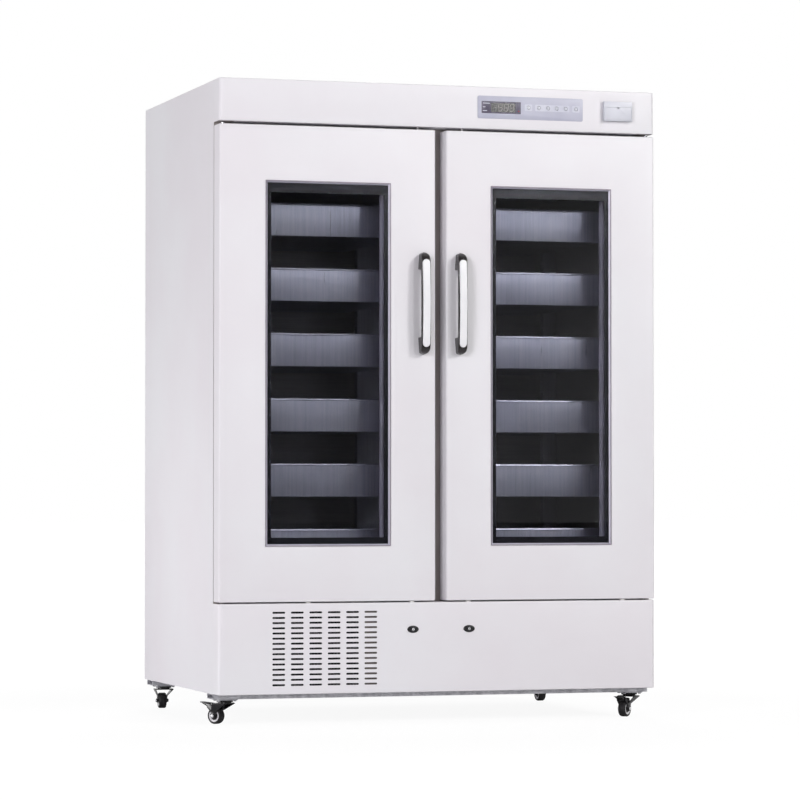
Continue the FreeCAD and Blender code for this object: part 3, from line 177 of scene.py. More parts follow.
# %% Worn edges and dust
worn_group, given, result = shader_group(
    "worn_edge",
    {"Color": "color", "Bare": "color", "Vector": "vector", "Radius": "value", "Amount": "value"},
    {"Color": "color"})
rounded = add(worn_group, "ShaderNodeBevel", {"Radius": given["Radius"]}, samples=3).outputs[0]
true_normal = add(worn_group, "ShaderNodeNewGeometry").outputs["Normal"]
facing = add(worn_group, "ShaderNodeVectorMath", {0: rounded, 1: true_normal},
             operation="DOT_PRODUCT").outputs[1]
chips = ramp(worn_group, noise(worn_group, given["Vector"], 260.0), 0.42, 0.62)
bared = times(worn_group, ramp(worn_group, facing, 0.985, 0.85), chips)
share = times(worn_group, bared, given["Amount"])
wire(worn_group, result, {"Color": blend(worn_group, share, given["Color"], given["Bare"])})

dust_group, given, result = shader_group(
    "settled_dust",
    {"Color": "color", "Dust": "color", "Vector": "vector", "Amount": "value", "Roughness": "value"},
    {"Color": "color", "Roughness": "value"})
upward = add(dust_group, "ShaderNodeSeparateXYZ",
             {0: add(dust_group, "ShaderNodeNewGeometry").outputs["Normal"]}).outputs[2]
lying = ramp(dust_group, upward, 0.3, 0.95)
specks = ramp(dust_group, noise(dust_group, given["Vector"], 90.0, 5.0), 0.40, 0.75)
share = times(dust_group, times(dust_group, lying, specks), given["Amount"])
wire(dust_group, result, {
    "Color": blend(dust_group, share, given["Color"], given["Dust"]),
    "Roughness": math_node(dust_group, "MULTIPLY_ADD", lying, 0.4, given["Roughness"])})
print("edge and dust effects:", worn_group.name, dust_group.name)

# %% [markdown]
# ## Finishes
# A finish is a material: an effect for its colour, roughness and relief, then wear and dust where
# the real surface has them. Numbers that are the same all over go on the shader's own sockets.
# Scales are per metre, so a grain of 900 is about a millimetre across.

# %% A finish from its values
dust_tone = (0.42, 0.40, 0.37, 1.0)
worn_radius = 1.2 * mm
finishes = {}


def finish(effect, name, pale, deep, blotch, grain, rough, relief, spread=0.1, stretch=None,
           bare=None, wear=0.0, dust=0.0, plain=()):
    """A material from one surface effect, with optional wear, dust and fixed shader values."""
    finishes[name] = bpy.data.materials.new(name)
    finishes[name].use_nodes = True
    tree = finishes[name].node_tree
    shader = tree.nodes["Principled BSDF"].inputs
    where = add(tree, "ShaderNodeTexCoord").outputs["Object"]
    values = {"Vector": where, "Pale": (*pale, 1.0), "Deep": (*deep, 1.0), "Blotch": blotch,
              "Grain": grain, "Roughness": rough, "Spread": spread}
    if stretch:
        values["Stretch"] = stretch
    surface = add(tree, "ShaderNodeGroup", values, node_tree=effect).outputs
    color, roughness = surface["Color"], surface["Roughness"]
    if wear:
        color = add(tree, "ShaderNodeGroup", {
            "Color": color, "Bare": (*bare, 1.0), "Vector": where, "Radius": worn_radius,
            "Amount": wear}, node_tree=worn_group).outputs["Color"]
    if dust:
        dusty = add(tree, "ShaderNodeGroup", {
            "Color": color, "Dust": dust_tone, "Vector": where, "Amount": dust,
            "Roughness": roughness}, node_tree=dust_group).outputs
        color, roughness = dusty["Color"], dusty["Roughness"]
    wire(tree, shader, {"Base Color": color, "Roughness": roughness})
    if relief:
        bump = add(tree, "ShaderNodeBump", {"Height": surface["Height"], "Distance": relief * mm})
        wire(tree, shader, {"Normal": bump.outputs[0]})
    for label, value in dict(plain).items():
        shader[label].default_value = value


print("finish maker ready")

# %% Painted, moulded and rubber finishes
coats = [
    # name, pale, deep, blotch, grain, roughness, relief in mm, and what else it has
    ("white_powder_coat", (0.80, 0.795, 0.83), (0.78, 0.755, 0.795), 2.2, 1100, 0.42, 0.05,
     {"spread": 0.12, "dust": 0.10, "plain": {"Coat Weight": 0.06, "Coat Roughness": 0.25}}),
    # painted shade: the face frame is white painted steel; this brownish grey paints the shade in the
    # gaps round the doors
    ("frame_coat", (0.44, 0.40, 0.385), (0.38, 0.345, 0.33), 3, 1100, 0.5, 0.05, {}),
    ("moulded_white", (0.70, 0.70, 0.72), (0.66, 0.66, 0.69), 6, 1600, 0.42, 0.04, {}),
    ("moulded_grey", (0.48, 0.49, 0.51), (0.43, 0.44, 0.47), 9, 1500, 0.5, 0.05, {"dust": 0.2}),
    ("expanded_foam", (0.78, 0.70, 0.46), (0.66, 0.57, 0.34), 60, 700, 0.9, 0.8, {}),
    ("seal_rubber", (0.30, 0.30, 0.32), (0.24, 0.24, 0.26), 25, 2200, 0.55, 0.03, {}),
    # painted shade: a dark grey for the sheet in the window reveal, standing in for the shade on the
    # white door liner there
    ("reveal_lining", (0.19, 0.18, 0.21), (0.16, 0.15, 0.18), 25, 2600, 0.5, 0.02, {}),
    ("handle_black", (0.016, 0.013, 0.014), (0.024, 0.020, 0.020), 30, 2600, 0.26, 0.02,
     {"spread": 0.15, "bare": (0.10, 0.09, 0.09), "wear": 0.35, "plain": {"Coat Weight": 0.3}}),
    ("handle_insert", (0.86, 0.86, 0.88), (0.82, 0.82, 0.85), 18, 2400, 0.30, 0.02, {}),
    ("overlay_silver", (0.50, 0.505, 0.61), (0.455, 0.46, 0.57), 14, 5200, 0.38, 0.01, {}),
    ("key_field", (0.60, 0.61, 0.70), (0.56, 0.57, 0.67), 20, 5200, 0.34, 0.01, {}),
    ("key_cap", (0.72, 0.73, 0.80), (0.66, 0.67, 0.75), 60, 3000, 0.22, 0.01,
     {"plain": {"Coat Weight": 0.4}}),
    ("display_window", (0.055, 0.045, 0.085), (0.10, 0.085, 0.14), 35, 3000, 0.12, 0,
     {"plain": {"Coat Weight": 0.6}}),
    ("digit_field", (0.006, 0.006, 0.007), (0.010, 0.009, 0.011), 60, 3000, 0.2, 0, {}),
    ("recorder_case", (0.66, 0.67, 0.74), (0.62, 0.63, 0.70), 16, 1900, 0.36, 0.03, {}),
    ("printed_border", (0.006, 0.006, 0.008), (0.009, 0.009, 0.012), 40, 3000, 0.18, 0, {}),
    ("lock_case", (0.012, 0.012, 0.013), (0.02, 0.02, 0.021), 60, 3200, 0.3, 0.02,
     {"bare": (0.2, 0.2, 0.2), "wear": 0.4}),
    ("tyre_rubber", (0.007, 0.006, 0.008), (0.013, 0.012, 0.013), 60, 2400, 0.55, 0.05,
     {"dust": 0.15, "plain": {"Specular IOR Level": 0.35}}),
    ("wheel_rim", (0.74, 0.73, 0.76), (0.66, 0.65, 0.68), 50, 2600, 0.3, 0.02, {}),
    ("glide_nylon", (0.80, 0.79, 0.77), (0.72, 0.71, 0.69), 90, 2600, 0.35, 0, {}),
    ("fan_plastic", (0.02, 0.02, 0.022), (0.03, 0.03, 0.033), 30, 2400, 0.4, 0.03, {"dust": 0.3}),
    # painted shade: a near-black mat behind the slots stands in for the shade inside the machine space
    ("filter_mat", (0.010, 0.010, 0.012), (0.018, 0.017, 0.018), 90, 1300, 0.8, 0.2, {}),
    # painted light: this brown stands in for the lit condenser end seen through the sixth column of
    # slots
    ("guide_primer", (0.125, 0.105, 0.095), (0.095, 0.08, 0.075), 40, 1200, 0.6, 0.05, {}),
    ("compressor_enamel", (0.012, 0.012, 0.013), (0.02, 0.019, 0.019), 12, 900, 0.3, 0.08,
     {"bare": (0.18, 0.16, 0.15), "wear": 0.5, "dust": 0.45}),
    ("caster_enamel", (0.006, 0.006, 0.007), (0.013, 0.012, 0.014), 70, 1800, 0.14, 0.02,
     {"spread": 0.08, "bare": (0.22, 0.21, 0.22), "wear": 0.35,
      "plain": {"Specular IOR Level": 0.4}}),
    ("hub_cover", (0.010, 0.009, 0.011), (0.018, 0.016, 0.018), 80, 2400, 0.3, 0.02, {}),
    ("digit_segment", (0.34, 0.32, 0.31), (0.28, 0.265, 0.26), 200, 4000, 0.4, 0, {}),
    ("alarm_lens", (0.32, 0.03, 0.06), (0.24, 0.02, 0.05), 300, 4000, 0.2, 0, {}),
    ("window_glass", (0.92, 0.93, 0.96), (0.90, 0.91, 0.95), 3, 40, 0.0, 0,
     {"spread": 0.012,
      "plain": {"Transmission Weight": 1.0, "IOR": 1.45, "Specular IOR Level": 0.32}}),
]
for *values, more in coats:
    finish(coat_group, *values, **more)
print("painted and moulded finishes:", len(coats))

# %% Metal finishes
upright_grain, level_grain, no_grain = (1.0, 1.0, 0.02), (0.02, 1.0, 1.0), (1.0, 1.0, 1.0)
metals = [
    # name, pale, deep, blotch, grain, roughness, relief in mm, spread, stretch, metallic, what else
    ("brushed_stainless", (0.35, 0.35, 0.40), (0.25, 0.25, 0.30), 5, 150, 0.33, 0.02, 0.25,
     upright_grain, 1.0, {}),
    ("rack_stainless", (0.50, 0.50, 0.53), (0.40, 0.40, 0.43), 6, 380, 0.34, 0.02, 0.2,
     upright_grain, 1.0, {}),
    ("liner_stainless", (0.52, 0.50, 0.48), (0.44, 0.42, 0.41), 3, 260, 0.5, 0.01, 0.2,
     level_grain, 1.0, {}),
    ("galvanised_steel", (0.74, 0.74, 0.78), (0.52, 0.52, 0.56), 55, 70, 0.42, 0.03, 0.3,
     no_grain, 1.0, {"bare": (0.6, 0.6, 0.62), "wear": 0.5, "dust": 0.25}),
    ("window_trim_anodised", (0.60, 0.58, 0.67), (0.52, 0.50, 0.60), 8, 500, 0.46, 0.01, 0.15,
     level_grain, 0.75, {}),
    # painted shade: the rail's darker colour stands in for the shade band along the window trim
    ("trim_rail_anodised", (0.34, 0.30, 0.35), (0.28, 0.25, 0.30), 8, 500, 0.5, 0.01, 0.15,
     level_grain, 0.6, {}),
    # painted shade: the spacer is darkened well below bare aluminium to stand in for the shade in the
    # window reveal
    ("spacer_aluminium", (0.22, 0.21, 0.26), (0.18, 0.17, 0.22), 12, 600, 0.4, 0.01, 0.15,
     upright_grain, 1.0, {}),
    ("bright_plating", (0.82, 0.82, 0.84), (0.74, 0.74, 0.77), 60, 900, 0.12, 0, 0.08,
     no_grain, 1.0, {}),
    ("cap_nickel", (0.86, 0.86, 0.88), (0.78, 0.78, 0.80), 90, 900, 0.36, 0, 0.08,
     no_grain, 0.5, {}),
    ("key_barrel", (0.20, 0.20, 0.21), (0.13, 0.13, 0.14), 60, 900, 0.22, 0, 0.08,
     no_grain, 1.0, {}),
    ("bolt_steel", (0.62, 0.61, 0.60), (0.48, 0.47, 0.46), 120, 900, 0.28, 0.02, 0.2,
     no_grain, 1.0, {}),
    ("condenser_fins", (0.52, 0.50, 0.48), (0.40, 0.38, 0.36), 30, 300, 0.45, 0.03, 0.2,
     upright_grain, 1.0, {"dust": 0.5}),
]
for *values, metallic, more in metals:
    finish(brushed_group, *values, plain={"Metallic": metallic}, **more)
print("all finishes:", len(finishes))

# %% [markdown]
# ## Mesh tools
# Sheet metal is folded and punched, so most pieces here start as blocks whose edges are rounded
# with a bevel, and are then hollowed and punched with exact Boolean cuts. Turned parts come from
# a profile that is carried round an axis, and frames from a profile with mitred corners.

# %% Blocks, bevels and plain meshes
tiny = 1e-6


def boxes(*corners):
    """Closed boxes, each between two corners, in one bmesh."""
    bm = bmesh.new()
    for lo, hi in corners:
        made = bmesh.ops.create_cube(bm, size=1.0)["verts"]
        lo, hi = Vector(lo), Vector(hi)
        bmesh.ops.scale(bm, vec=hi - lo, verts=made)
        bmesh.ops.translate(bm, vec=(hi + lo) / 2, verts=made)
    return bm


def round_edges(bm, chosen, radius, segments=4):
    """A bevel on every edge that chosen(a, b) picks by its two end points."""
    edges = [e for e in bm.edges if chosen(e.verts[0].co, e.verts[1].co)]
    bmesh.ops.bevel(bm, geom=edges, offset=radius, segments=segments, profile=0.5, affect="EDGES")


def soft_block(lo, hi, radius, segments=3):
    """A box with all its edges rounded."""
    bm = boxes((lo, hi))
    round_edges(bm, lambda a, b: True, radius, segments)
    return bm


def joined(whole, *parts):
    """Several bmeshes as one."""
    for part in parts:
        mesh = bpy.data.meshes.new("part")
        part.to_mesh(mesh)
        part.free()
        whole.from_mesh(mesh)
        bpy.data.meshes.remove(mesh)
    return whole


def outward(bm):
    bmesh.ops.recalc_face_normals(bm, faces=bm.faces)
    return bm


print("block tools ready")


# %% From loose mesh to finished piece
def work_object(name, source):
    """A loose object that is still being worked on; it isn't a piece yet."""
    if isinstance(source, bmesh.types.BMesh):
        mesh = bpy.data.meshes.new(name)
        outward(source).to_mesh(mesh)
        source.free()
        source = mesh
    made = bpy.data.objects.new(name, source)
    scene.collection.objects.link(made)
    return made


def settle(made):
    """Keep what an object's modifiers make as a plain mesh, and take the modifiers off."""
    graph = bpy.context.evaluated_depsgraph_get()
    mesh = bpy.data.meshes.new_from_object(made.evaluated_get(graph))
    made.modifiers.clear()
    made.data = mesh
    return mesh


def carved(source, *tools):
    """A mesh with the shape of each tool cut away."""
    body = work_object("body", source)
    cutters = [work_object("cutter", tool) for tool in tools]
    for cutter in cutters:
        cut = body.modifiers.new("cut", "BOOLEAN")
        cut.operation, cut.solver, cut.object = "DIFFERENCE", "EXACT", cutter
    mesh = settle(body)
    for made in [body] + cutters:
        bpy.data.objects.remove(made)
    return mesh


def piece(name, source, look, body="root", replaced=None, sharp=35.0):
    """A finished piece: smooth up to an angle, in its finish, and riding on its body."""
    made = work_object(name, source)
    made.data.shade_smooth()
    made.data.set_sharp_from_angle(angle=math.radians(sharp))
    made.data.materials.clear()
    made.data.materials.append(finishes[look])
    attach(made, body)
    if replaced:
        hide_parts(replaced)
    return made


print("piece tools ready")

# %% Outlines and sections
axis_turns = {
    "x": Matrix.Rotation(math.radians(90), 4, "Y"),
    "y": Matrix.Rotation(math.radians(90), 4, "X"),
    "z": Matrix.Identity(4),
}


def in_mm(points):
    """A section that is written in millimetres, in metres."""
    return [(a * mm, b * mm) for a, b in points]


def inside(lo, hi, by=0.0):
    """The limits x0, x1, z0, z1 of a box's front view, moved inwards."""
    return lo.x + by, hi.x - by, lo.z + by, hi.z - by


def arc(cx, cz, r, first, last, steps):
    """Points along a circle's arc, from one angle in degrees to another."""
    angles = [math.radians(first + (last - first) * k / steps) for k in range(steps + 1)]
    return [(cx + r * math.cos(a), cz + r * math.sin(a)) for a in angles]


def rounded_outline(x0, x1, z0, z1, r, y, steps=6):
    """An upright rectangle with round corners, as points."""
    corners = ((x1 - r, z1 - r, 0), (x0 + r, z1 - r, 90), (x0 + r, z0 + r, 180), (x1 - r, z0 + r, 270))
    return [(x, y, z) for cx, cz, first in corners
            for x, z in arc(cx, cz, r, first, first + 90, steps)]


print("outline tools ready")


# %% Turned, mitred and extruded forms
def turned(profile, centre, axis="z", steps=32, turn=None):
    """A closed profile of (radius, height) points, carried round an axis through a centre."""
    bm = bmesh.new()
    rings = []
    for k in range(steps):
        angle = 2 * math.pi * k / steps
        rings.append([bm.verts.new((r * math.cos(angle), r * math.sin(angle), h)) for r, h in profile])
    count = len(profile)
    for k, ring in enumerate(rings):
        after = rings[(k + 1) % steps]
        for i in range(count):
            j = (i + 1) % count
            bm.faces.new((ring[i], after[i], after[j], ring[j]))
    bmesh.ops.remove_doubles(bm, verts=bm.verts, dist=tiny)
    bmesh.ops.dissolve_degenerate(bm, edges=bm.edges, dist=tiny)
    bmesh.ops.delete(bm, geom=[e for e in bm.edges if not e.link_faces], context="EDGES")
    bm.transform(Matrix.Translation(Vector(centre)) @ (turn or axis_turns[axis]))
    return outward(bm)


def rod(radius, start, end, centre, axis="y", steps=32):
    """A plain round bar; most are drills for holes."""
    return turned([(0, start), (radius, start), (radius, end), (0, end)], centre, axis, steps)


def walled(bm, rings):
    """Faces from each ring of points to the next."""
    for ring, after in zip(rings, rings[1:]):
        for k in range(len(ring)):
            m = (k + 1) % len(ring)
            bm.faces.new((ring[k], ring[m], after[m], after[k]))


def mitred_frame(x0, x1, z0, z1, y, profile):
    """An upright rectangular frame. Profile points are (inwards from the outline, back from y)."""
    bm = bmesh.new()
    rings = []
    for inset, back in profile:
        a, b, c, d = x0 + inset, x1 - inset, z0 + inset, z1 - inset
        rings.append([bm.verts.new((x, y + back, z)) for x, z in ((a, c), (b, c), (b, d), (a, d))])
    walled(bm, rings + rings[:1])
    return outward(bm)


def extruded(outline, start, end):
    """A flat closed outline of 3-D points, pushed from one offset to another."""
    bm = bmesh.new()
    near = [bm.verts.new(Vector(p) + Vector(start)) for p in outline]
    far = [bm.verts.new(Vector(p) + Vector(end)) for p in outline]
    bm.faces.new(near)
    bm.faces.new(far[::-1])
    for k in range(len(outline)):
        m = (k + 1) % len(outline)
        bm.faces.new((near[k], far[k], far[m], near[m]))
    return outward(bm)


def rounded_plate(x0, x1, z0, z1, y0, y1, r, steps=6):
    return extruded(rounded_outline(x0, x1, z0, z1, r, y0, steps), (0, 0, 0), (0, y1 - y0, 0))


print("form tools ready")

# %% [markdown]
# ## Repeats with Geometry Nodes
# Slots, perforations and screws repeat one small shape at even steps. A node tree makes a grid of
# points from named inputs, puts the shape on each point, makes the copies real and gives them
# their finish. The result is kept as a plain mesh, so that it can be cut, merged or exported.

# %% A grid of copies
copy_grid = bpy.data.node_groups.new("grid_of_copies", "GeometryNodeTree")
for label, kind in {
        "Shape": "Object", "Columns": "Int", "Rows": "Int", "Width": "Float", "Height": "Float",
        "Middle": "Vector", "Turn": "Vector", "Weld": "Float", "Finish": "Material"}.items():
    copy_grid.interface.new_socket(name=label, in_out="INPUT", socket_type="NodeSocket" + kind)
copy_grid.interface.new_socket(name="Geometry", in_out="OUTPUT", socket_type="NodeSocketGeometry")
given = copy_grid.nodes.new("NodeGroupInput").outputs
points = add(copy_grid, "GeometryNodeMeshGrid", {
    "Size X": given["Width"], "Size Y": given["Height"],
    "Vertices X": given["Columns"], "Vertices Y": given["Rows"]})
placed = add(copy_grid, "GeometryNodeTransform", {
    "Geometry": points.outputs["Mesh"], "Translation": given["Middle"], "Rotation": given["Turn"]})
shape = add(copy_grid, "GeometryNodeObjectInfo", {"Object": given["Shape"]})
copies = add(copy_grid, "GeometryNodeInstanceOnPoints", {
    "Points": placed.outputs[0], "Instance": shape.outputs["Geometry"]})
real = add(copy_grid, "GeometryNodeRealizeInstances", {"Geometry": copies.outputs[0]})
welded = add(copy_grid, "GeometryNodeMergeByDistance", {
    "Geometry": real.outputs[0], "Distance": given["Weld"]})
dressed = add(copy_grid, "GeometryNodeSetMaterial", {
    "Geometry": welded.outputs[0], "Material": given["Finish"]})
copy_grid.links.new(dressed.outputs[0], copy_grid.nodes.new("NodeGroupOutput").inputs[0])

upright, level = (math.radians(90), 0.0, 0.0), (0.0, 0.0, 0.0)


def repeated(shape, columns, rows, width, height, middle, turn=upright, weld=tiny, look=None):
    """The grid tree run once: the mesh of all the copies of a shape."""
    pattern = work_object("pattern", shape)
    host = work_object("host", bpy.data.meshes.new("host"))
    nodes = host.modifiers.new("copies", "NODES")
    nodes.node_group = copy_grid
    values = {"Shape": pattern, "Columns": columns, "Rows": rows, "Width": width, "Height": height,
              "Middle": middle, "Turn": turn, "Weld": weld, "Finish": finishes.get(look)}
    for socket in copy_grid.interface.items_tree:
        if socket.in_out == "INPUT" and values[socket.name] is not None:
            nodes[socket.identifier] = values[socket.name]
    mesh = settle(host)
    bpy.data.objects.remove(host)
    bpy.data.objects.remove(pattern)
    return mesh


def punched_field(size, depth, count, step, middle):
    """Round-ended punches in even columns and rows; size, depth, count and step are pairs."""
    (w, h), (columns, rows), (dx, dz) = size, count, step
    punch = rounded_plate(-w / 2, w / 2, -h / 2, h / 2, *depth, h / 2 - tiny, 5)
    return repeated(punch, columns, rows, (columns - 1) * dx, (rows - 1) * dz, middle)


print("grid tree:", len(copy_grid.nodes), "nodes")

# %% [markdown]
# ## Casing
# The side panels and the top are one folded steel sheet. Across its front the head above and the
# panel below are separate covers that wrap round the corners, so a seam shows on each side. All
# are blocks with rounded folds that are hollowed from behind, which keeps the sheet's thickness.

# %% Side panels and top
skin, fold_r, lip = 1.2 * mm, 3.0 * mm, 12.0 * mm
shell_lo, shell_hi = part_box("outer_shell")
shell = boxes((shell_lo, shell_hi))
round_edges(
    shell, lambda a, b: abs(a.y - b.y) > tiny and min(a.z, b.z) > shell_hi.z - tiny, fold_r, 5)
room = boxes((
    (shell_lo.x + skin, shell_lo.y - skin, shell_lo.z - skin),
    (shell_hi.x - skin, shell_hi.y + skin, shell_hi.z - skin)))
lips = boxes(*[
    ((x0, shell_hi.y - skin, z0), (x1, shell_hi.y, shell_hi.z - skin)) for x0, x1, z0 in (
        (shell_lo.x + skin, shell_lo.x + lip, shell_lo.z),
        (shell_hi.x - lip, shell_hi.x - skin, shell_lo.z),
        (shell_lo.x + lip, shell_hi.x - lip, shell_hi.z - lip))])
lips.from_mesh(carved(shell, room))
piece("cabinet_sides_and_top", lips, "white_powder_coat", replaced="outer_shell")
print("shell:", [round(v, 3) for v in (shell_hi - shell_lo)])


# %% A front cover
def cover_blocks(lo, hi, corner, rim, sheet):
    """A wrapped front cover before it is punched: the outer block and the room inside it."""

    def front_fold(depth):
        return lambda a, b: abs(a.z - b.z) > tiny and max(a.y, b.y) < lo[1] + depth + tiny

    def on_rim(a, b):
        level_edge = abs(a.z - b.z) < tiny
        at_back = min(a.y, b.y) > hi[1] - tiny
        return level_edge and not at_back and (a.z < lo[2] + tiny or a.z > hi[2] - tiny)

    outer = boxes((lo, hi))
    round_edges(outer, front_fold(0.0), corner, 8)
    round_edges(outer, on_rim, rim, 4)
    inner = boxes((
        (lo[0] + sheet, lo[1] + sheet, lo[2] + sheet), (hi[0] - sheet, hi[1] + sheet, hi[2] - sheet)))
    round_edges(inner, front_fold(sheet), corner - sheet, 8)
    return outer, inner


print("cover tool ready")

# %% Head cover
corner_r, rim_r = 12.0 * mm, 2.5 * mm
hinge_room, hinge_set = 52.0 * mm, 9.0 * mm
margin = 4.0 * mm
head_lo, head_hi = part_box("head_fascia")
panel_lo, panel_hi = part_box("control_panel")
printer_lo, printer_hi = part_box("printer_housing")


def hinge_cuts(z0, z1):
    """Where the hinge plates pass into a cover."""
    y0, y1 = head_lo.y + hinge_set, head_hi.y + skin
    return boxes(((head_lo.x + skin, y0, z0), (head_lo.x + hinge_room, y1, z1)),
                 ((head_hi.x - hinge_room, y0, z0), (head_hi.x - skin, y1, z1)))


head_cuts = boxes(*[
    ((lo.x + margin, head_lo.y - skin, lo.z + margin),
     (hi.x - margin, head_lo.y + 3 * skin, hi.z - margin))
    for lo, hi in ((panel_lo, panel_hi), (printer_lo, printer_hi))])
outer, inner = cover_blocks(head_lo, head_hi, corner_r, rim_r, skin)
head_mesh = carved(outer, inner, hinge_cuts(head_lo.z - skin, head_lo.z + 6 * mm), head_cuts)
piece("head_cover", head_mesh, "white_powder_coat", replaced="head_fascia")
print("head:", len(head_mesh.polygons), "faces")

# %% [markdown]
# ## Lower panel
# Ninety air slots are punched in six columns of fifteen. Each slot has round ends. The grid tree
# makes all the punches at once and one Boolean cut opens them, so the sheet's edge shows in each
# slot, as it does on the real panel. A pleated near-black mat behind five columns paints the shade
# seen through their slots, and a folded brown sheet behind the sixth paints the lighter, lit brown
# seen through that column. Oval cases carry the two key barrels, each with a bright keyhole plate.

# %% Slots and lock holes
low_lo, low_hi = [Vector((p.x, q.y, p.z)) for p, q in zip(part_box("lower_panel"), (head_lo, head_hi))]
slot_w, slot_h = 40.0 * mm, 6.0 * mm
slot_dx, slot_dz = 57.9 * mm, 15.54 * mm
slot_columns, slot_rows = 6, 15
slot_x0, slot_z0 = 166.5 * mm, 28.0 * mm
slots_wide, slots_high = (slot_columns - 1) * slot_dx, (slot_rows - 1) * slot_dz
slots_middle = (
    low_lo.x + slot_x0 + slot_w / 2 + slots_wide / 2, low_lo.y, low_lo.z + slot_z0 + slots_high / 2)
punches = punched_field((slot_w, slot_h), (-3 * mm, 5 * mm), (slot_columns, slot_rows),
                        (slot_dx, slot_dz), slots_middle)

lock_x, lock_z = 90.0 * mm, low_hi.z - 82.0 * mm
lock_body_r, lock_drill = 10.5 * mm, 8 * mm
lock_holes = joined(*[
    rod(lock_body_r + 0.4 * mm, -lock_drill, lock_drill, (sign * lock_x, low_lo.y, lock_z))
    for side, sign in sides])


cam_slot_x, cam_slot_y = (0.078, 0.135), (21.5 * mm, 29.5 * mm)


def cam_slot(sign, face, z0, z1):
    """The slot in a sheet that a lock's cam swings up through, as the corners of a box."""
    x0, x1 = sorted(sign * x for x in cam_slot_x)
    return (x0, face + cam_slot_y[0], z0), (x1, face + cam_slot_y[1], z1)


cam_cuts = boxes(*[cam_slot(sign, low_lo.y, low_hi.z - 2 * skin, low_hi.z + skin) for _, sign in sides])
outer, inner = cover_blocks(low_lo, low_hi, corner_r, rim_r, skin)
low_mesh = carved(
    outer, inner, punches, lock_holes, cam_cuts, hinge_cuts(low_hi.z - 5 * mm, low_hi.z + skin))
piece("lower_cover", low_mesh, "white_powder_coat", replaced="lower_panel")
print("lower cover:", len(low_mesh.polygons), "faces with", slot_columns * slot_rows, "slots")

# %% Painted shade behind five slot columns and painted light behind the sixth
mat_y0, mat_y1, mat_t = low_lo.y + 2.0 * mm, low_lo.y + 8.8 * mm, 0.8 * mm
mat_x0 = low_lo.x + slot_x0 - 7 * mm
mat_x1 = mat_x0 + 5 * slot_dx - 4 * mm
mat_z0, mat_z1 = low_lo.z + slot_z0 - 9 * mm, low_lo.z + slot_z0 + slots_high + 9 * mm
mat_rise = (0, 0, mat_z1 - mat_z0)
pleats = 56
pleat = (mat_x1 - mat_x0) / pleats
front_edge = [(mat_x0 + k * pleat, mat_y0 if k % 2 else mat_y1 - mat_t, mat_z0)
              for k in range(pleats + 1)]
outline = front_edge + [(x, y + mat_t, z) for x, y, z in front_edge[::-1]]
# the near-black mat paints the shade behind five columns of slots
piece("filter_mat", extruded(outline, (0, 0, 0), mat_rise), "filter_mat", sharp=10.0)

lit_sheet_x0 = mat_x1 + 2 * mm
lit_sheet_x1 = lit_sheet_x0 + slot_dx - 4 * mm
near_left, near_right = mat_y0 + 1.2 * mm, mat_y0 + 3.0 * mm
lit_sheet = [(lit_sheet_x0, mat_y1), (lit_sheet_x0, near_left), (lit_sheet_x1, near_right), (lit_sheet_x1, mat_y1),
         (lit_sheet_x1 - skin, mat_y1), (lit_sheet_x1 - skin, near_right + skin),
         (lit_sheet_x0 + skin, near_left + skin), (lit_sheet_x0 + skin, mat_y1)]
# the brown sheet paints the lit brown seen through the sixth column
piece("air_guide", extruded([(x, y, mat_z0) for x, y in lit_sheet], (0, 0, 0), mat_rise), "guide_primer",
      sharp=20.0)
print("filter mat:", pleats, "pleats")

# %% Lock cases
case_w, case_h, bore_r = 18.0 * mm, 11.0 * mm, 7.7 * mm
case_front, case_deep = low_lo.y - 3.0 * mm, 26.0
oval_steps = 48
# (half width, half height, mm behind the front): over the oval, down the bore, back round the body
case_rings = [(case_w * share, max(case_h * share, bore_r + 0.4 * mm), depth)
              for share, depth in ((1.0, 3.0), (1.0, 1.6), (0.93, 0.5), (0.82, 0.0), (0.66, 0.1))]
case_rings += [(r, r, depth) for r, depth in (
    (bore_r, 0.1), (bore_r, case_deep), (lock_body_r, case_deep), (lock_body_r, 3.0))]
oval_angles = [2 * math.pi * k / oval_steps for k in range(oval_steps)]
for side, sign in sides:
    bm = bmesh.new()
    rings = [[
        bm.verts.new((sign * lock_x + half_w * math.cos(a), case_front + depth * mm,
                      lock_z + half_h * math.sin(a))) for a in oval_angles]
        for half_w, half_h, depth in case_rings]
    walled(bm, rings + rings[:1])
    piece(side + "_lock_case", bm, "lock_case")
print("locks at height", round(lock_z, 3))

# %% Key barrels
barrel_r, cam_half, cam_t = 7.4 * mm, 6.5 * mm, 2.5 * mm
plate_section = ((0, 0.05), (3.7, 0.05), (4.2, 0.5), (0, 0.5))
for side, sign in sides:
    node, x = side + "_lock", sign * lock_x
    lo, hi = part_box(node)

    def key_room(half_w, half_h, deep):
        """Room for the key, from in front of the barrel."""
        return boxes(((x - half_w, lo.y - mm, lock_z - half_h),
                      (x + half_w, lo.y + deep, lock_z + half_h)))

    profile = [(0, lo.y + 0.3 * mm), (barrel_r - 2.2 * mm, lo.y + 0.3 * mm), (barrel_r - 1.8 * mm, lo.y),
               (barrel_r - 0.6 * mm, lo.y), (barrel_r, lo.y + 0.6 * mm), (barrel_r, hi.y), (0, hi.y)]
    barrel = turned([(r, -h) for r, h in profile], (x, 0, lock_z), "y", 40)
    barrel_mesh = carved(barrel, key_room(1.0 * mm, 4.0 * mm, 4.5 * mm))
    cam_x0, cam_x1 = sorted((x, lo.x if sign < 0 else hi.x))
    cam = rounded_plate(
        cam_x0 - (cam_half if sign > 0 else 0), cam_x1 + (cam_half if sign < 0 else 0),
        lock_z - cam_half, lock_z + cam_half, hi.y - cam_t, hi.y, cam_half - tiny, 8)
    cam.from_mesh(barrel_mesh)
    piece(side + "_key_barrel", cam, "key_barrel", node, node)
    plate = turned([(r * mm, -lo.y - h * mm) for r, h in plate_section], (x, 0, lock_z), "y", 32)
    piece(side + "_keyhole_plate", carved(plate, key_room(0.7 * mm, 2.8 * mm, mm)), "cap_nickel",
          node)
print("key barrels:", len(sides))
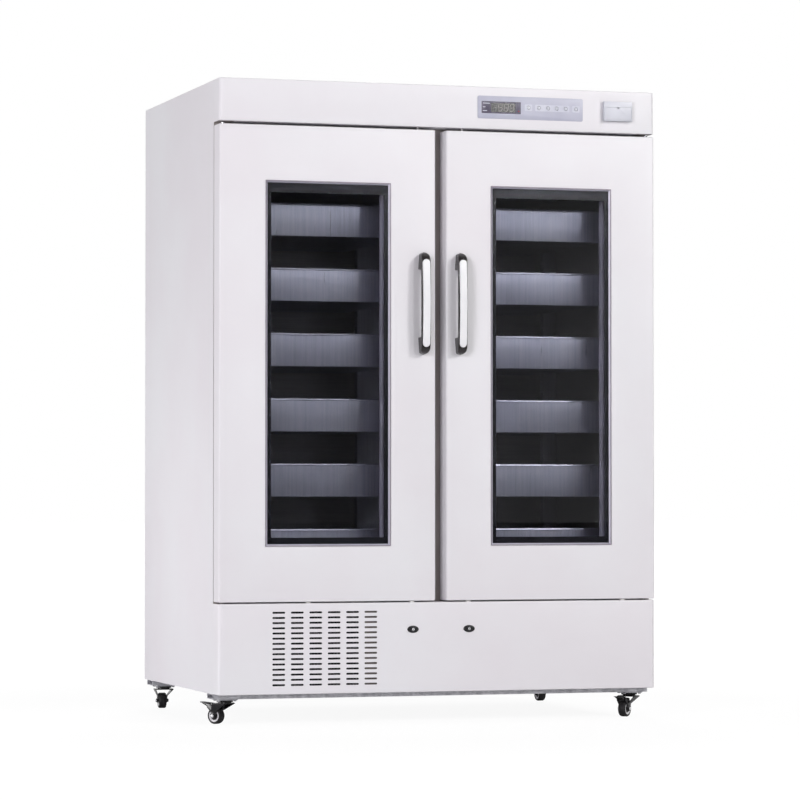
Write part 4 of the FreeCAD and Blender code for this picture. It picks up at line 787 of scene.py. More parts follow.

# %% [markdown]
# ## Doors
# Each door is a sheet steel pan with rounded front edges, a folded window opening and a sealed
# glass unit with a black printed border. Its mitred aluminium trim has a raised rail whose darker
# colour paints the shade band along the trim, and a white bead along its outer edge that paints
# the highlight line there. Behind the glass a grey sheet in the reveal paints the shade on the white
# door liner, and the spacer's dark colour paints shade as well. Frames with mitred corners are drawn
# as a small section and carried round a rectangle, so trim, rail, bead, spacer, shade sheet and seal
# all come from one function.

# %% Door pans
door_skin, door_corner, door_rim = 1.5 * mm, 7.0 * mm, 3.0 * mm
trim_lap, trim_w = 5.0 * mm, 8.5 * mm
fold_deep = 27 * mm
pin_r, pin_in, pin_back, overrun = 4.0 * mm, 18 * mm, 25 * mm, 0.01
for side, sign in sides:
    lo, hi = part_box(side + "_door_shell")
    x0, x1, z0, z1 = inside(*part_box(side + "_window_trim"), trim_lap)
    hole = boxes(((x0, lo.y - 5 * mm, z0), (x1, lo.y + 3 * door_skin, z1)))
    hinge_x = (hi.x if sign > 0 else lo.x) - sign * pin_in
    pins = rod(pin_r + 0.4 * mm, lo.z - overrun, hi.z + overrun, (hinge_x, lo.y + pin_back, 0), "z", 24)
    slot = boxes(cam_slot(sign, lo.y, lo.z - skin, lo.z + 3 * door_skin))
    pan_mesh = carved(*cover_blocks(lo, hi, door_corner, door_rim, door_skin), hole, pins, slot)
    fold = mitred_frame(x0 - door_skin, x1 + door_skin, z0 - door_skin, z1 + door_skin, lo.y + door_skin,
                        [(0, 0), (0, fold_deep), (door_skin, fold_deep), (door_skin, 0)])
    fold.from_mesh(pan_mesh)
    piece(side + "_door_pan", fold, "white_powder_coat", side + "_door",
          side + "_door_shell")
print("doors:", [round(v, 3) for v in (hi - lo)])

# %% Window trim, rail and bead
trim_layers = [
    # name, finish, slot, node it stands for, sharp angle, section in mm
    ("_trim", "window_trim_anodised", "trim_aluminium", "_window_trim", 25.0,
     [(4.3, -1.3), (7.6, 2.1), (8.2, 2.4), (8.5, 2.9), (8.5, 4.5), (5.4, 4.5), (5.4, 0.2), (4.3, 0.2)]),
    # the rail's darker finish paints the shade band inside the highlight line
    ("_trim_rail", "trim_rail_anodised", "trim_aluminium", None, 25.0,
     [(1.3, 0.2), (1.3, -1.4), (1.6, -1.85), (2.0, -2.0), (3.4, -2.0), (3.9, -1.85), (4.25, -1.35),
      (4.25, 0.2)]),
    # painted highlight: the bead takes the white insert finish to paint the bright line on the trim's
    # outer edge
    ("_trim_bead", "handle_insert", "gasket", None, 35.0,
     [(0.0, 0.0), (0.0, -0.9), (0.25, -1.4), (0.95, -1.4), (1.25, -0.9), (1.25, 0.0)]),
]
rail_proud = 2.0 * mm
for side, sign in sides:
    lo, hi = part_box(side + "_window_trim")
    for name, look, slot, node, sharp, section in trim_layers:
        made = mitred_frame(*inside(lo, hi), lo.y + rail_proud, in_mm(section))
        piece(side + name, made, look, side + "_door", node and side + node, sharp)
print("trim layers:", len(trim_layers))

# %% Glass, printed border, spacer and painted shade in the reveal
border_side, border_top, border_bottom = 12.7 * mm, 29.0 * mm, 19.5 * mm
spacer_section = [(6, 4.3), (6, 20.0), (14, 20.0), (14, 4.3)]
pane_t, print_gap, print_t = 4 * mm, 4.05 * mm, 0.2 * mm
reveal_border, reveal_shade_t = 14.0 * mm, 0.5 * mm
for side, sign in sides:
    door = side + "_door"
    t_lo, t_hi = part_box(side + "_window_trim")
    g_lo, g_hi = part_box(side + "_glazing")
    panes = joined(soft_block(g_lo, (g_hi.x, g_lo.y + pane_t, g_hi.z), 0.4 * mm, 1),
                   soft_block((g_lo.x, g_hi.y - pane_t, g_lo.z), g_hi, 0.4 * mm, 1))
    made = piece(side + "_panes", panes, "window_glass", door, side + "_glazing")
    made.visible_shadow = False

    x0, x1, z0, z1 = inside(t_lo, t_hi, trim_w)
    back = g_lo.y + print_gap
    printed = carved(
        boxes(((g_lo.x, back, g_lo.z), (g_hi.x, back + print_t, g_hi.z))),
        rounded_plate(x0 + border_side, x1 - border_side, z0 + border_bottom, z1 - border_top,
                      back - mm, back + mm, 3 * mm))
    piece(side + "_printed_border", printed, "printed_border", door)
    # the spacer's dark colour paints the shade in the reveal
    spacer = mitred_frame(*inside(g_lo, g_hi), g_lo.y, in_mm(spacer_section))
    piece(side + "_spacer", spacer, "spacer_aluminium", door)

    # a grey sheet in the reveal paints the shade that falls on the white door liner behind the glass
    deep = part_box(side + "_door_liner")[1].y - g_hi.y - 1.5 * mm
    reveal_shade_sheet = mitred_frame(*inside(t_lo, t_hi, trim_lap + reveal_border), g_hi.y + 0.5 * mm,
                          [(0, 0), (0, deep), (reveal_shade_t, deep), (reveal_shade_t, 0)])
    piece(side + "_reveal_lining", reveal_shade_sheet, "reveal_lining", door)
print("window opening:", round(x1 - x0, 4), "by", round(z1 - z0, 4))

# %% Door seals
seal_section = [
    (2.2, 0.0), (13.8, 0.0), (13.8, 1.5), (12.0, 2.3), (11.4, 3.2), (12.2, 3.9), (14.8, 4.4),
    (15.8, 5.2), (16.0, 6.2), (15.6, 7.2), (14.8, 7.6), (1.2, 7.6), (0.4, 7.2), (0.0, 6.2),
    (0.2, 5.2), (1.2, 4.4), (3.8, 3.9), (4.6, 3.2), (4.0, 2.3), (2.2, 1.5)]
for side, sign in sides:
    node = side + "_door_gasket"
    lo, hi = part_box(node)
    piece(side + "_seal", mitred_frame(*inside(lo, hi), lo.y, in_mm(seal_section)), "seal_rubber",
          side + "_door", node)
print("seal section:", len(seal_section), "points")

# %% [markdown]
# ## Pull handles
# The handle is a moulded black bridge with wide feet, a grip that bows out a little, and a pale
# insert along its front. A bridge like this follows a rule: at each step along it there is an
# outer and an inner point in the side view, and a rounded section between the two. The front
# view is a long shape with round ends, so each section is narrowed to that outline.

# %% Lines in the side view
handle_w, handle_len, handle_reach = 28.0 * mm, 311.0 * mm, 46.0 * mm
half_w, half_len = handle_w / 2, handle_len / 2
front_y = -handle_reach + 1.5 * mm
crown, bar, shoulder, foot, bend = 6.0 * mm, 17.0 * mm, 26.0 * mm, 52.0 * mm, 8.5 * mm
end_steps, bow_steps = 18, 40


def arc_through(a, b, c, count):
    """Points along the circle arc from a through b to c, in the side view (y, z)."""
    (ax, ay), (bx, by), (cx, cy) = a, b, c
    d = 2 * (ax * (by - cy) + bx * (cy - ay) + cx * (ay - by))
    sa, sb, sc = ax**2 + ay**2, bx**2 + by**2, cx**2 + cy**2
    ux = (sa * (by - cy) + sb * (cy - ay) + sc * (ay - by)) / d
    uy = (sa * (cx - bx) + sb * (ax - cx) + sc * (bx - ax)) / d
    start, mid, end = [math.degrees(math.atan2(p[1] - uy, p[0] - ux)) for p in (a, b, c)]
    mid = start + math.remainder(mid - start, 360)
    end = mid + math.remainder(end - mid, 360)
    return arc(ux, uy, math.hypot(ax - ux, ay - uy), start, end, count)


def spread(points, count):
    """The same line at even steps of length."""
    runs = [0.0]
    for a, b in zip(points, points[1:]):
        runs.append(runs[-1] + math.dist(a, b))
    out = []
    for k in range(count + 1):
        want = runs[-1] * k / count
        i = max(j for j in range(len(runs) - 1) if runs[j] <= want + tiny)
        share = (want - runs[i]) / max(runs[i + 1] - runs[i], tiny)
        a, b = points[i], points[i + 1]
        out.append((a[0] + (b[0] - a[0]) * share, a[1] + (b[1] - a[1]) * share))
    return out


turn_z, finger = half_len - shoulder, half_len - foot
inner_y, root_y = front_y + bar, -0.3 * mm
outer_end = spread(arc_through(
    (root_y, half_len), (front_y * 0.62, half_len - shoulder * 0.22), (front_y + crown, turn_z), 16),
    end_steps)
outer_bow = spread(arc_through((front_y + crown, turn_z), (front_y, 0), (front_y + crown, -turn_z), 32),
                   bow_steps)
outer_line = outer_end[:-1] + outer_bow + [(y, -z) for y, z in outer_end[::-1][1:]]
inner_bend = arc_through((inner_y + bend, finger), (inner_y + bend * 0.3, finger - bend * 0.3),
                         (inner_y, finger - bend), 6)
inner_run = spread([(root_y, finger)] + inner_bend, end_steps)
inner_bow = [(inner_y, (finger - bend) * (1 - 2 * k / bow_steps)) for k in range(1, bow_steps)]
inner_line = inner_run + inner_bow + [(y, -z) for y, z in inner_run[::-1]]
print("handle:", len(outer_line), "sections")


# %% Bridge
def bridge(centre_x, face, centre_z):
    """The black bridge: a rounded section at each step of its lines, narrowed to the front view."""
    bm = bmesh.new()
    section = [(cx, cv, ca, sa) for cx, cv, first in ((1, 1, 0), (-1, 1, 90), (-1, 0, 180), (1, 0, 270))
               for ca, sa in arc(0, 0, 1, first, first + 90, 5)]
    rings = []
    for (oy, oz), (iy, iz) in zip(outer_line, inner_line):
        thick = math.dist((oy, oz), (iy, iz))
        ring = []
        for cx, cv, ca, sa in section:
            r = min(5.0 * mm if cv else 3.0 * mm, thick * 0.45)
            u = (cx * (half_w - r) + r * ca) / half_w
            v = (cv * thick - r * (1 if cv else -1) + r * sa) / thick
            y, z = iy + (oy - iy) * v, iz + (oz - iz) * v
            over = max(0.0, abs(z) - (half_len - half_w))
            wide = math.sqrt(max(half_w**2 - over**2, tiny))
            ring.append(bm.verts.new((centre_x + u * wide, face + y, centre_z + z)))
        rings.append(ring)
    walled(bm, rings)
    bm.faces.new(rings[0][::-1])
    bm.faces.new(rings[-1])
    return outward(bm)


print("bridge tool ready")

# %% Insert
insert_w, insert_len, insert_cap, insert_steps = 11.5 * mm, 134.0 * mm, 10, 40
# (share of the half width, mm behind the front)
insert_section = [(-1.0, 3.0), (-1.0, 0.8), (-0.96, 0.35), (-0.86, 0.08), (-0.6, 0.0), (0.0, -0.15),
                  (0.6, 0.0), (0.86, 0.08), (0.96, 0.35), (1.0, 0.8), (1.0, 3.0)]


def insert_rows(centre_x, face, centre_z, grow=0.0, lift=0.0):
    """The insert: rows of points across it, from end to end, that follow the grip's bow."""
    w, length = insert_w + grow, insert_len + grow
    bm = bmesh.new()
    rows = []
    ends = [length - w + w * math.cos(math.pi / 2 * k / insert_cap) for k in range(insert_cap + 1)]
    straight = [(length - w) * (1 - 2 * k / insert_steps) for k in range(1, insert_steps)]
    for z in ends + straight + [-h for h in ends[::-1]]:
        over = max(0.0, abs(z) - (length - w))
        wide = math.sqrt(max(w**2 - over**2, tiny**2))
        front = face - handle_reach + crown * (z / turn_z) ** 2 + lift + 0.8 * mm * (over / w) ** 6
        rows.append([bm.verts.new((centre_x + s * wide, front + d * mm, centre_z + z))
                     for s, d in insert_section])
    walled(bm, rows)
    bm.faces.new(rows[0])
    bm.faces.new(rows[-1][::-1])
    bmesh.ops.remove_doubles(bm, verts=bm.verts, dist=tiny)
    bmesh.ops.dissolve_degenerate(bm, edges=bm.edges, dist=tiny)
    return outward(bm)


for side, sign in sides:
    lo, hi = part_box(side + "_handle")
    place = (lo.x + hi.x) / 2, head_lo.y, (lo.z + hi.z) / 2
    bridge_mesh = carved(bridge(*place), insert_rows(*place, 0.25 * mm, -1.0 * mm))
    piece(side + "_handle_bridge", bridge_mesh, "handle_black", side + "_door",
          side + "_handle", 50.0)
    piece(side + "_handle_insert", insert_rows(*place), "handle_insert",
          side + "_door", sharp=50.0)
print("handles:", len(sides))

# %% [markdown]
# ## Drawers
# Twelve stainless drawers hang by their side flanges. The front is one folded sheet with a rolled
# top edge; the floor is perforated so that cold air can pass. The front is an outline in the side
# view, pushed across the drawer, and the floor is one small tile with an eight-sided hole, which
# the grid tree lays out and welds.

# %% Front and floor tile
sheet, hem_r, bend_r = 1.2 * mm, 3.0 * mm, 2.2 * mm
flange_w, flange_drop = 14.0 * mm, 8.0 * mm
floor_up, back_drop, floor_lap = 4.0 * mm, 14.0 * mm, 10 * mm
hole_r, hole_step = 5.5 * mm, 26.0 * mm
# (forward of the face, below the top): a flat folded lip that leans back a little
lip_section = [(0.0, 6.6), (-3.4, 6.2), (-4.5, 5.7), (-4.8, 5.0), (-3.9, 1.0), (-3.4, 0.3), (-2.6, 0.0),
               (0.2, 0.0), (1.0, 0.3), (1.2, 1.0)]


def front_outline(height):
    """Side view (y, z) of the front's folded sheet, from its lower edge."""
    return ([(floor_lap, 0.0)] + arc(bend_r, bend_r, bend_r, 270, 180, 4)
            + [(y * mm, height - drop * mm) for y, drop in lip_section]
            + arc(bend_r, bend_r, bend_r - sheet, 180, 270, 3) + [(floor_lap, sheet)])


def holed_tile(w, d, r, t):
    """A tile of sheet with an eight-sided hole, open at its outer sides."""
    bm = bmesh.new()
    square = [(1, 0), (1, 1), (0, 1), (-1, 1), (-1, 0), (-1, -1), (0, -1), (1, -1)]
    round_hole = [(math.cos(math.pi * k / 4), math.sin(math.pi * k / 4)) for k in range(8)]
    (o0, i0), (o1, i1) = [
        ([bm.verts.new((x * w / 2, y * d / 2, z)) for x, y in square],
         [bm.verts.new((r * x, r * y, z)) for x, y in round_hole]) for z in (0.0, t)]
    for k in range(8):
        m = (k + 1) % 8
        bm.faces.new((o0[k], i0[k], i0[m], o0[m]))
        bm.faces.new((o1[k], o1[m], i1[m], i1[k]))
        bm.faces.new((i0[k], i1[k], i1[m], i0[m]))
    return bm


print("lip section:", len(lip_section), "points")


# %% Drawers
def drawer_mesh(node):
    """One drawer, and the number of holes in its floor."""
    lo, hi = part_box(node)
    face = lo.y + 2 * hem_r - sheet
    behind = face + sheet
    x0, x1 = lo.x + flange_w, hi.x - flange_w
    rim, floor_z = hi.z - flange_drop, lo.z + floor_up
    outline = [(0.0, face + y, lo.z + z) for y, z in front_outline(hi.z - lo.z)]
    front = extruded(outline, (lo.x, 0, 0), (hi.x, 0, 0))
    walls = boxes(
        ((x0, behind, floor_z), (x0 + sheet, hi.y, rim)),
        ((x1 - sheet, behind, floor_z), (x1, hi.y, rim)),
        ((x0 + sheet, hi.y - sheet, floor_z), (x1 - sheet, hi.y, rim - back_drop)),
        ((lo.x, behind, rim - sheet), (x0, hi.y, rim)),
        ((x1, behind, rim - sheet), (hi.x, hi.y, rim)))
    w, d = x1 - x0 - 2 * sheet, hi.y - sheet - face - sheet
    columns, rows = int(w / hole_step), int(d / hole_step)
    step_x, step_y = w / columns, d / rows
    floor = repeated(
        holed_tile(step_x, step_y, hole_r, sheet), columns, rows, (columns - 1) * step_x,
        (rows - 1) * step_y, ((x0 + x1) / 2, (face + hi.y) / 2, floor_z), level, 0.02 * mm,
        "brushed_stainless")
    perforated = bmesh.new()
    perforated.from_mesh(floor)
    bmesh.ops.bridge_loops(perforated, edges=[e for e in perforated.edges if e.is_boundary])
    return joined(front, walls, outward(perforated)), columns * rows


for side, sign in sides:
    for n in range(1, 7):
        node = "%s_drawer_%d" % (side, n)
        mesh, holes = drawer_mesh(node)
        piece(node + "_steel", mesh, "brushed_stainless", node, node)
print("each drawer floor has", holes, "holes")

# %% [markdown]
# ## Softening carried-over parts
# Many parts behind the doors and in the base already have their true shape. They only lack the
# small round edges that every pressed or moulded part has. Their mesh is copied, its loose
# triangles are merged and flattened into faces, and a narrow bevel rounds the edges.

# %% Softened copies
def softened(node, radius):
    """A copy of a CAD node with merged faces and narrow round edges."""
    bm = bmesh.new()
    bm.from_mesh(frame["nodes"][node].data)
    bmesh.ops.remove_doubles(bm, verts=bm.verts, dist=0.01 * mm)
    bmesh.ops.dissolve_limit(bm, angle_limit=math.radians(2), verts=bm.verts, edges=bm.edges)
    made = work_object("soft", bm)
    rounding = made.modifiers.new("round", "BEVEL")
    rounding.width, rounding.segments = radius, 2
    rounding.limit_method, rounding.angle_limit = "ANGLE", math.radians(30)
    rounding.use_clamp_overlap = True
    mesh = settle(made)
    bpy.data.objects.remove(made)
    return mesh


soft_parts = [
    # node, round edge in mm, finish, slot, body
    ("base_frame", 0.5, "galvanised_steel", "galvanised", "root"),
    ("caster_plates", 0.5, "galvanised_steel", "caster_plate", "root"),
    ("drawer_rack", 0.3, "rack_stainless", "stainless", "root"),
    ("evaporator_housing", 0.6, "moulded_grey", "grey_plastic", "root"),
    ("compressor", 0.8, "compressor_enamel", "black_can", "root"),
    ("condenser", 0.2, "condenser_fins", "copper_coil", "root"),
    ("evaporator_fan", 0.3, "fan_plastic", "fan_plastic", "evaporator_fan"),
    ("condenser_fan", 0.3, "fan_plastic", "fan_plastic", "condenser_fan"),
    ("left_door_liner", 1.0, "moulded_white", "white_plastic", "left_door"),
    ("right_door_liner", 1.0, "moulded_white", "white_plastic", "right_door"),
]
for node, radius, look, slot, body in soft_parts:
    mesh = softened(node, radius * mm)
    piece(node + "_rounded", mesh, look, body, node)
    print(node, len(mesh.polygons), "faces")

# %% [markdown]
# ## Head: keypad, display and chart recorder
# A silver overlay carries a dark display window with three digits and a minus bar, six round keys
# on paler fields, and a small alarm lens. The digits are seven bars each. To the right is the
# chart recorder, a moulded case that stands out of the head, with a hinged paper cover.

# %% Overlay and controller case
overlay_face = panel_lo.y
key_boxes = [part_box("button_%d" % n) for n in range(1, 7)]
key_x = [(lo.x + hi.x) / 2 for lo, hi in key_boxes]
key_z = (key_boxes[0][0].z + key_boxes[0][1].z) / 2
key_r = (key_boxes[0][1].z - key_boxes[0][0].z) / 2
window_x0, window_w = panel_lo.x + 12.6 * mm, 128.0 * mm
window_z0, window_h = panel_lo.z + 16.3 * mm, 37.4 * mm
window_deep = 0.7 * mm


def key_drills(room):
    """Drills for the six keys, wider than a key by some room."""
    return joined(*[rod(key_r + room, -5 * mm, 5 * mm, (x, overlay_face, key_z)) for x in key_x])


plate = extruded(
    rounded_outline(*inside(panel_lo, panel_hi), 5 * mm, 0), (0, overlay_face, 0), (0, head_lo.y, 0))
round_edges(
    plate, lambda a, b: abs(a.y - overlay_face) < tiny and abs(b.y - overlay_face) < tiny, 0.35 * mm, 2)
sunk = boxes(((window_x0, overlay_face - mm, window_z0),
              (window_x0 + window_w, overlay_face + window_deep, window_z0 + window_h)))
piece("keypad_overlay", carved(plate, key_drills(0.6 * mm), sunk), "overlay_silver",
      replaced="control_panel")

case_in = 5.0 * mm
case_boxes = [
    boxes(((panel_lo.x + by, front, panel_lo.z + by), (panel_hi.x - by, back, panel_hi.z - by)))
    for by, front, back in ((case_in, head_lo.y + 1.5 * mm, panel_hi.y),
                            (1.3 * case_in, head_lo.y, panel_hi.y - 1.6 * mm))]
piece("controller_case", carved(*case_boxes), "fan_plastic")
print("keys at", [round(x, 4) for x in key_x])

# %% Key fields and keys
field_pad, field_tall, field_t = 12.0 * mm, 10.0 * mm, 0.25 * mm
fields = [rounded_plate(
    key_x[first] - field_pad, key_x[last] + field_pad, key_z - field_tall, key_z + field_tall,
    overlay_face - field_t, overlay_face, 2.5 * mm) for first, last in ((0, 0), (1, 4), (5, 5))]
piece("key_fields", carved(joined(*fields), key_drills(0.9 * mm)), "key_field")

# (radius, mm behind the front)
cap_section = [(0, 0.0), (1.3, 0.08), (2.5, 0.32), (3.6, 0.75), (4.5, 1.35), (5.15, 2.1), (5.5, 3.0)]
for n, (lo, hi) in enumerate(key_boxes, 1):
    profile = [(r * mm, -(lo.y + d * mm)) for r, d in cap_section] + [(5.5 * mm, -hi.y), (0, -hi.y)]
    key = turned(profile, ((lo.x + hi.x) / 2, 0, key_z), "y", 36)
    piece("key_%d" % n, key, "key_cap", "button_%d" % n, "button_%d" % n, 50.0)
print("keys:", n)

# %% Display window
glass_y = overlay_face + 0.68 * mm
inset = 0.15 * mm
piece("display_face", boxes((
    (window_x0 + inset, glass_y - 0.25 * mm, window_z0 + inset),
    (window_x0 + window_w - inset, glass_y, window_z0 + window_h - inset))), "display_window")


def printed_plate(x, z, w, h, r, steps=6):
    """A thin plate on the display, its place measured from the window's lower left corner."""
    x0, z0 = window_x0 + x, window_z0 + z
    return rounded_plate(x0, x0 + w, z0, z0 + h, glass_y - 0.35 * mm, glass_y - 0.2 * mm, r, steps)


piece("digit_field_plate", printed_plate(31 * mm, 4.0 * mm, 80 * mm, 29.0 * mm, 1.5 * mm),
      "digit_field")
marks = [printed_plate(4 * mm, window_h - (7.7 + 11.5 * k) * mm, long * mm, 2.4 * mm, 1.1 * mm, 4)
         for k, long in enumerate((23.0, 9.0, 14.0))]
piece("status_bars", joined(*marks), "key_field")
lens = turned(in_mm([(0, 0.45), (1.6, 0.40), (2.4, 0.1), (2.4, -0.3), (0, -0.3)]),
              (window_x0 + 121 * mm, glass_y - 0.3 * mm, window_z0 + 9 * mm), "y", 24)
piece("alarm_light", lens, "alarm_lens")
print("status bars:", len(marks))

# %% Digits
digit_w, digit_h, bar_t, slant = 12.2 * mm, 21.5 * mm, 2.0 * mm, 0.17
digit_z = window_z0 + window_h / 2
digit_places = [window_x0 + d * mm for d in (61.0, 80.0, 99.0)]
minus_place = window_x0 + 43.5 * mm


def segment(x0, z0, x1, z1, base):
    """One bar of a digit, with pointed ends, leaning with the rest."""
    along = Vector((x1 - x0, 0, z1 - z0))
    step = along.normalized() * bar_t / 2
    across = Vector((-step.z, 0, step.x))
    a, b = Vector((x0, 0, z0)) + step * 0.35, Vector((x1, 0, z1)) - step * 0.35
    outline = [a, a + step + across, b - step + across, b, b - step - across, a + step - across]
    leaned = [(base + p.x + slant * p.z, glass_y - 0.5 * mm, digit_z + p.z) for p in outline]
    return extruded(leaned, (0, 0, 0), (0, 0.2 * mm, 0))


w, h = digit_w / 2, digit_h / 2
eight = ((-w, 0, w, 0), (-w, h, w, h), (-w, -h, w, -h), (-w, 0, -w, h), (w, 0, w, h), (-w, -h, -w, 0),
         (w, -h, w, 0))
bars = [segment(*ends, place) for place in digit_places for ends in eight]
bars.append(segment(-w * 0.85, 0, w * 0.85, 0, minus_place))
piece("digits", joined(*bars), "digit_segment")
print("digits:", len(bars), "bars")

# %% Chart recorder
flap_lo, flap_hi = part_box("printer_flap")
flap_x = (flap_lo.x + flap_hi.x) / 2
rim_w, seat, finger_half, notch_r = 3.0 * mm, flap_hi.y + 1.2 * mm, 7 * mm, 4.5 * mm
case = soft_block(printer_lo, (printer_hi.x, head_lo.y, printer_hi.z), 1.2 * mm, 3)
well_in = rim_w + margin
well = boxes(((printer_lo.x + well_in, head_lo.y - tiny, printer_lo.z + well_in),
              (printer_hi.x - well_in, printer_hi.y, printer_hi.z - well_in)))
mouth = boxes(((printer_lo.x + rim_w, printer_lo.y - mm, printer_lo.z + rim_w),
               (printer_hi.x - rim_w, seat, flap_hi.z + 0.4 * mm)))
finger_room = boxes(((flap_x - finger_half, printer_lo.y + mm, flap_hi.z - 9 * mm),
                     (flap_x + finger_half, head_lo.y - 2 * mm, flap_hi.z - 0.2 * mm)))
well.from_mesh(carved(case, mouth, finger_room))
piece("recorder_case", well, "recorder_case", replaced="printer_housing")

grip = rod(notch_r, -overrun, overrun, (flap_x, flap_lo.y, flap_hi.z + 1.0 * mm))
piece("recorder_cover", carved(soft_block(flap_lo, flap_hi, 0.7 * mm, 3), grip), "recorder_case",
      "printer_flap", "printer_flap")
print("recorder stands out by", round(head_lo.y - printer_lo.y, 4))

# %% [markdown]
# ## Casters
# Each caster is a pressed fork on a swivel race, with a black tyre on a white wheel body, black
# bearing covers and a plated axle bolt. The front pair has a foot brake. Forks and pedals keep
# their CAD shape with softened edges. The wheel and the ring that keeps dirt out of the race are
# turned profiles: the white ring between tyre and cover is what one sees first.

# %% Wheels, forks and pedals
wheel_layers = [
    # name, finish, steps round, stands for the node, sharp angle, sides, (radius, along) in mm
    ("_tyre", "tyre_rubber", 56, True, 40.0, (1,),
     [(18.2, -11.4), (19.0, -12.0), (21.4, -12.0), (23.4, -11.3), (24.5, -9.6), (25.0, -7.4),
      (25.0, 7.4), (24.5, 9.6), (23.4, 11.3), (21.4, 12.0), (19.0, 12.0), (18.2, 11.4)]),
    ("_hub", "wheel_rim", 56, False, 30.0, (1,),
     [(4.3, -7.4), (11.8, -7.4), (13.2, -10.0), (14.2, -11.1), (18.2, -11.3),
      (18.2, 11.3), (14.2, 11.1), (13.2, 10.0), (11.8, 7.4), (4.3, 7.4)]),
    ("_covers", "hub_cover", 40, False, 30.0, (-1, 1),
     [(4.3, 7.3), (11.7, 7.3), (12.6, 9.4), (11.6, 10.3), (5.6, 10.9), (4.3, 10.2)]),
]
axle_cap = [(0, 21.9), (3.0, 21.8), (4.6, 21.2), (5.2, 20.0), (5.2, 18.2), (0, 18.2)]
race_ring = [(23.02, 67.7), (24.2, 67.7), (24.8, 68.4), (24.8, 73.3), (24.2, 73.9), (23.02, 73.9)]
joints = {j["name"]: j for j in frame["joints"]}
wheels = [name for name in joints if name.startswith("caster_wheel_")]
race_rings = []
for name in wheels:
    turn = Vector(joints[name]["axis"]).to_track_quat("Z", "Y").to_matrix().to_4x4()
    centre = joints[name]["pos_m"]

    def on_axle(section, ways, steps):
        """A profile turned about this wheel's axle, on one side or mirrored on both."""
        return joined(*[turned([(r * mm, way * h * mm) for r, h in section], centre, steps=steps,
                               turn=turn) for way in ways])

    for layer, look, steps, whole, sharp, ways, section in wheel_layers:
        piece(name + layer, on_axle(section, ways, steps), look, name,
              name if whole else None, sharp)
    fork, pedal = name.replace("wheel", "fork"), name.replace("caster_wheel", "brake_pedal")
    for node in (fork, pedal):
        if node in frame["nodes"]:
            piece(node + "_pressed", softened(node, 0.4 * mm), "caster_enamel", node,
                  node)
    piece(fork + "_axle_caps", on_axle(axle_cap, (-1, 1), 28), "cap_nickel", fork)
    x, y, _ = joints[fork]["pos_m"]
    race_rings.append(turned(in_mm(race_ring), (x, y, 0), "z", 40))
piece("race_rings", joined(*race_rings), "caster_enamel", sharp=25.0)
print("casters:", wheels)

# %% [markdown]
# ## Back, hinges and small hardware
# The back is a sheet with air slots for the machine space, screwed round its edge, with a black
# gland for the mains lead. Screws are one cross-slotted head, repeated by the grid tree. In the
# gaps round the doors there are bright hinge sleeves, white nylon glides and two door switches.

# %% Screw head
def screw_head(radius, place):
    """A pan head with a cross slot, which points along +Z before it is put in its place."""
    profile = [(0, 0.42), (0.5, 0.38), (0.85, 0.2), (1, 0.0), (1, -0.3), (0, -0.3)]
    dome = turned([(r * radius, h * radius) for r, h in profile], (0, 0, 0), "z", 16)
    wide, narrow, deep = 0.55 * radius, 0.10 * radius, 0.15 * radius
    mesh = carved(dome, boxes(((-wide, -narrow, deep), (wide, narrow, radius))),
                  boxes(((-narrow, -wide, deep), (narrow, wide, radius))))
    mesh.transform(place)
    return mesh


face_back = Matrix.Rotation(math.radians(-90), 4, "X")
face_left, face_right = [Matrix.Rotation(math.radians(a), 4, "Y") for a in (-90, 90)]
print("screw:", len(screw_head(4 * mm, face_back).polygons), "faces")

# %% Rear panel, gland and screws
rear_lo, rear_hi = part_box("rear_panel")
rear_y = shell_hi.y - 12.0 * mm
grille_size, grille_count, grille_step = (95.0 * mm, 8.0 * mm), (4, 7), (115.0 * mm, 20.0 * mm)
grille_z = 130.0 * mm + (grille_count[1] - 1) * grille_step[1] / 2
grille = punched_field(grille_size, (-4 * mm, 4 * mm), grille_count, grille_step,
                       (0, rear_y - 0.6 * mm, grille_z))
back_sheet = boxes(((rear_lo.x, rear_y - skin, rear_lo.z), (rear_hi.x, rear_y, rear_hi.z)))
gland_place = (-560.0 * mm, rear_y, 150.0 * mm)
gland_hole = rod(5 * mm, -overrun, overrun, gland_place, "y", 24)
piece("back_sheet", carved(back_sheet, grille, gland_hole), "galvanised_steel",
      replaced="rear_panel")
gland = [(4.6, 1.0), (11.0, 1.0), (12.6, 0.2), (12.6, -2.6), (11.4, -3.6), (9.6, -4.2), (9.2, -8.0),
         (8.2, -8.8), (5.4, -8.9), (4.6, -8.2)]
piece("lead_gland", turned(in_mm(gland), gland_place, "y", 12), "lock_case", sharp=20.0)

edge, corner_gap = 14.0 * mm, 0.18
screw_w, screw_h = rear_hi.x - rear_lo.x - 2 * edge, rear_hi.z - rear_lo.z - 2 * edge
screw_middle = (0, rear_y, (rear_lo.z + rear_hi.z) / 2)
screws = bmesh.new()
for columns, rows, height in ((2, 9, screw_h - corner_gap), (6, 2, screw_h)):
    screws.from_mesh(repeated(
        screw_head(4.5 * mm, face_back), columns, rows, screw_w, height, screw_middle,
        look="bolt_steel"))
piece("rear_screws", screws, "bolt_steel")
print("rear screws: 9 on each side, 6 above and 6 below")

# %% Side screws and hinge sleeves
low_mid = (low_lo.z + low_hi.z) / 2 - 17 * mm
screws = bmesh.new()
for sign, turn in ((-1, face_left), (1, face_right)):
    for up in (-80 * mm, 80 * mm):
        place = Matrix.Translation((sign * (shell_hi.x - 1.35 * mm), low_lo.y + 55 * mm, low_mid + up))
        screws.from_mesh(screw_head(3.2 * mm, place @ turn))
piece("side_screws", screws, "bolt_steel")

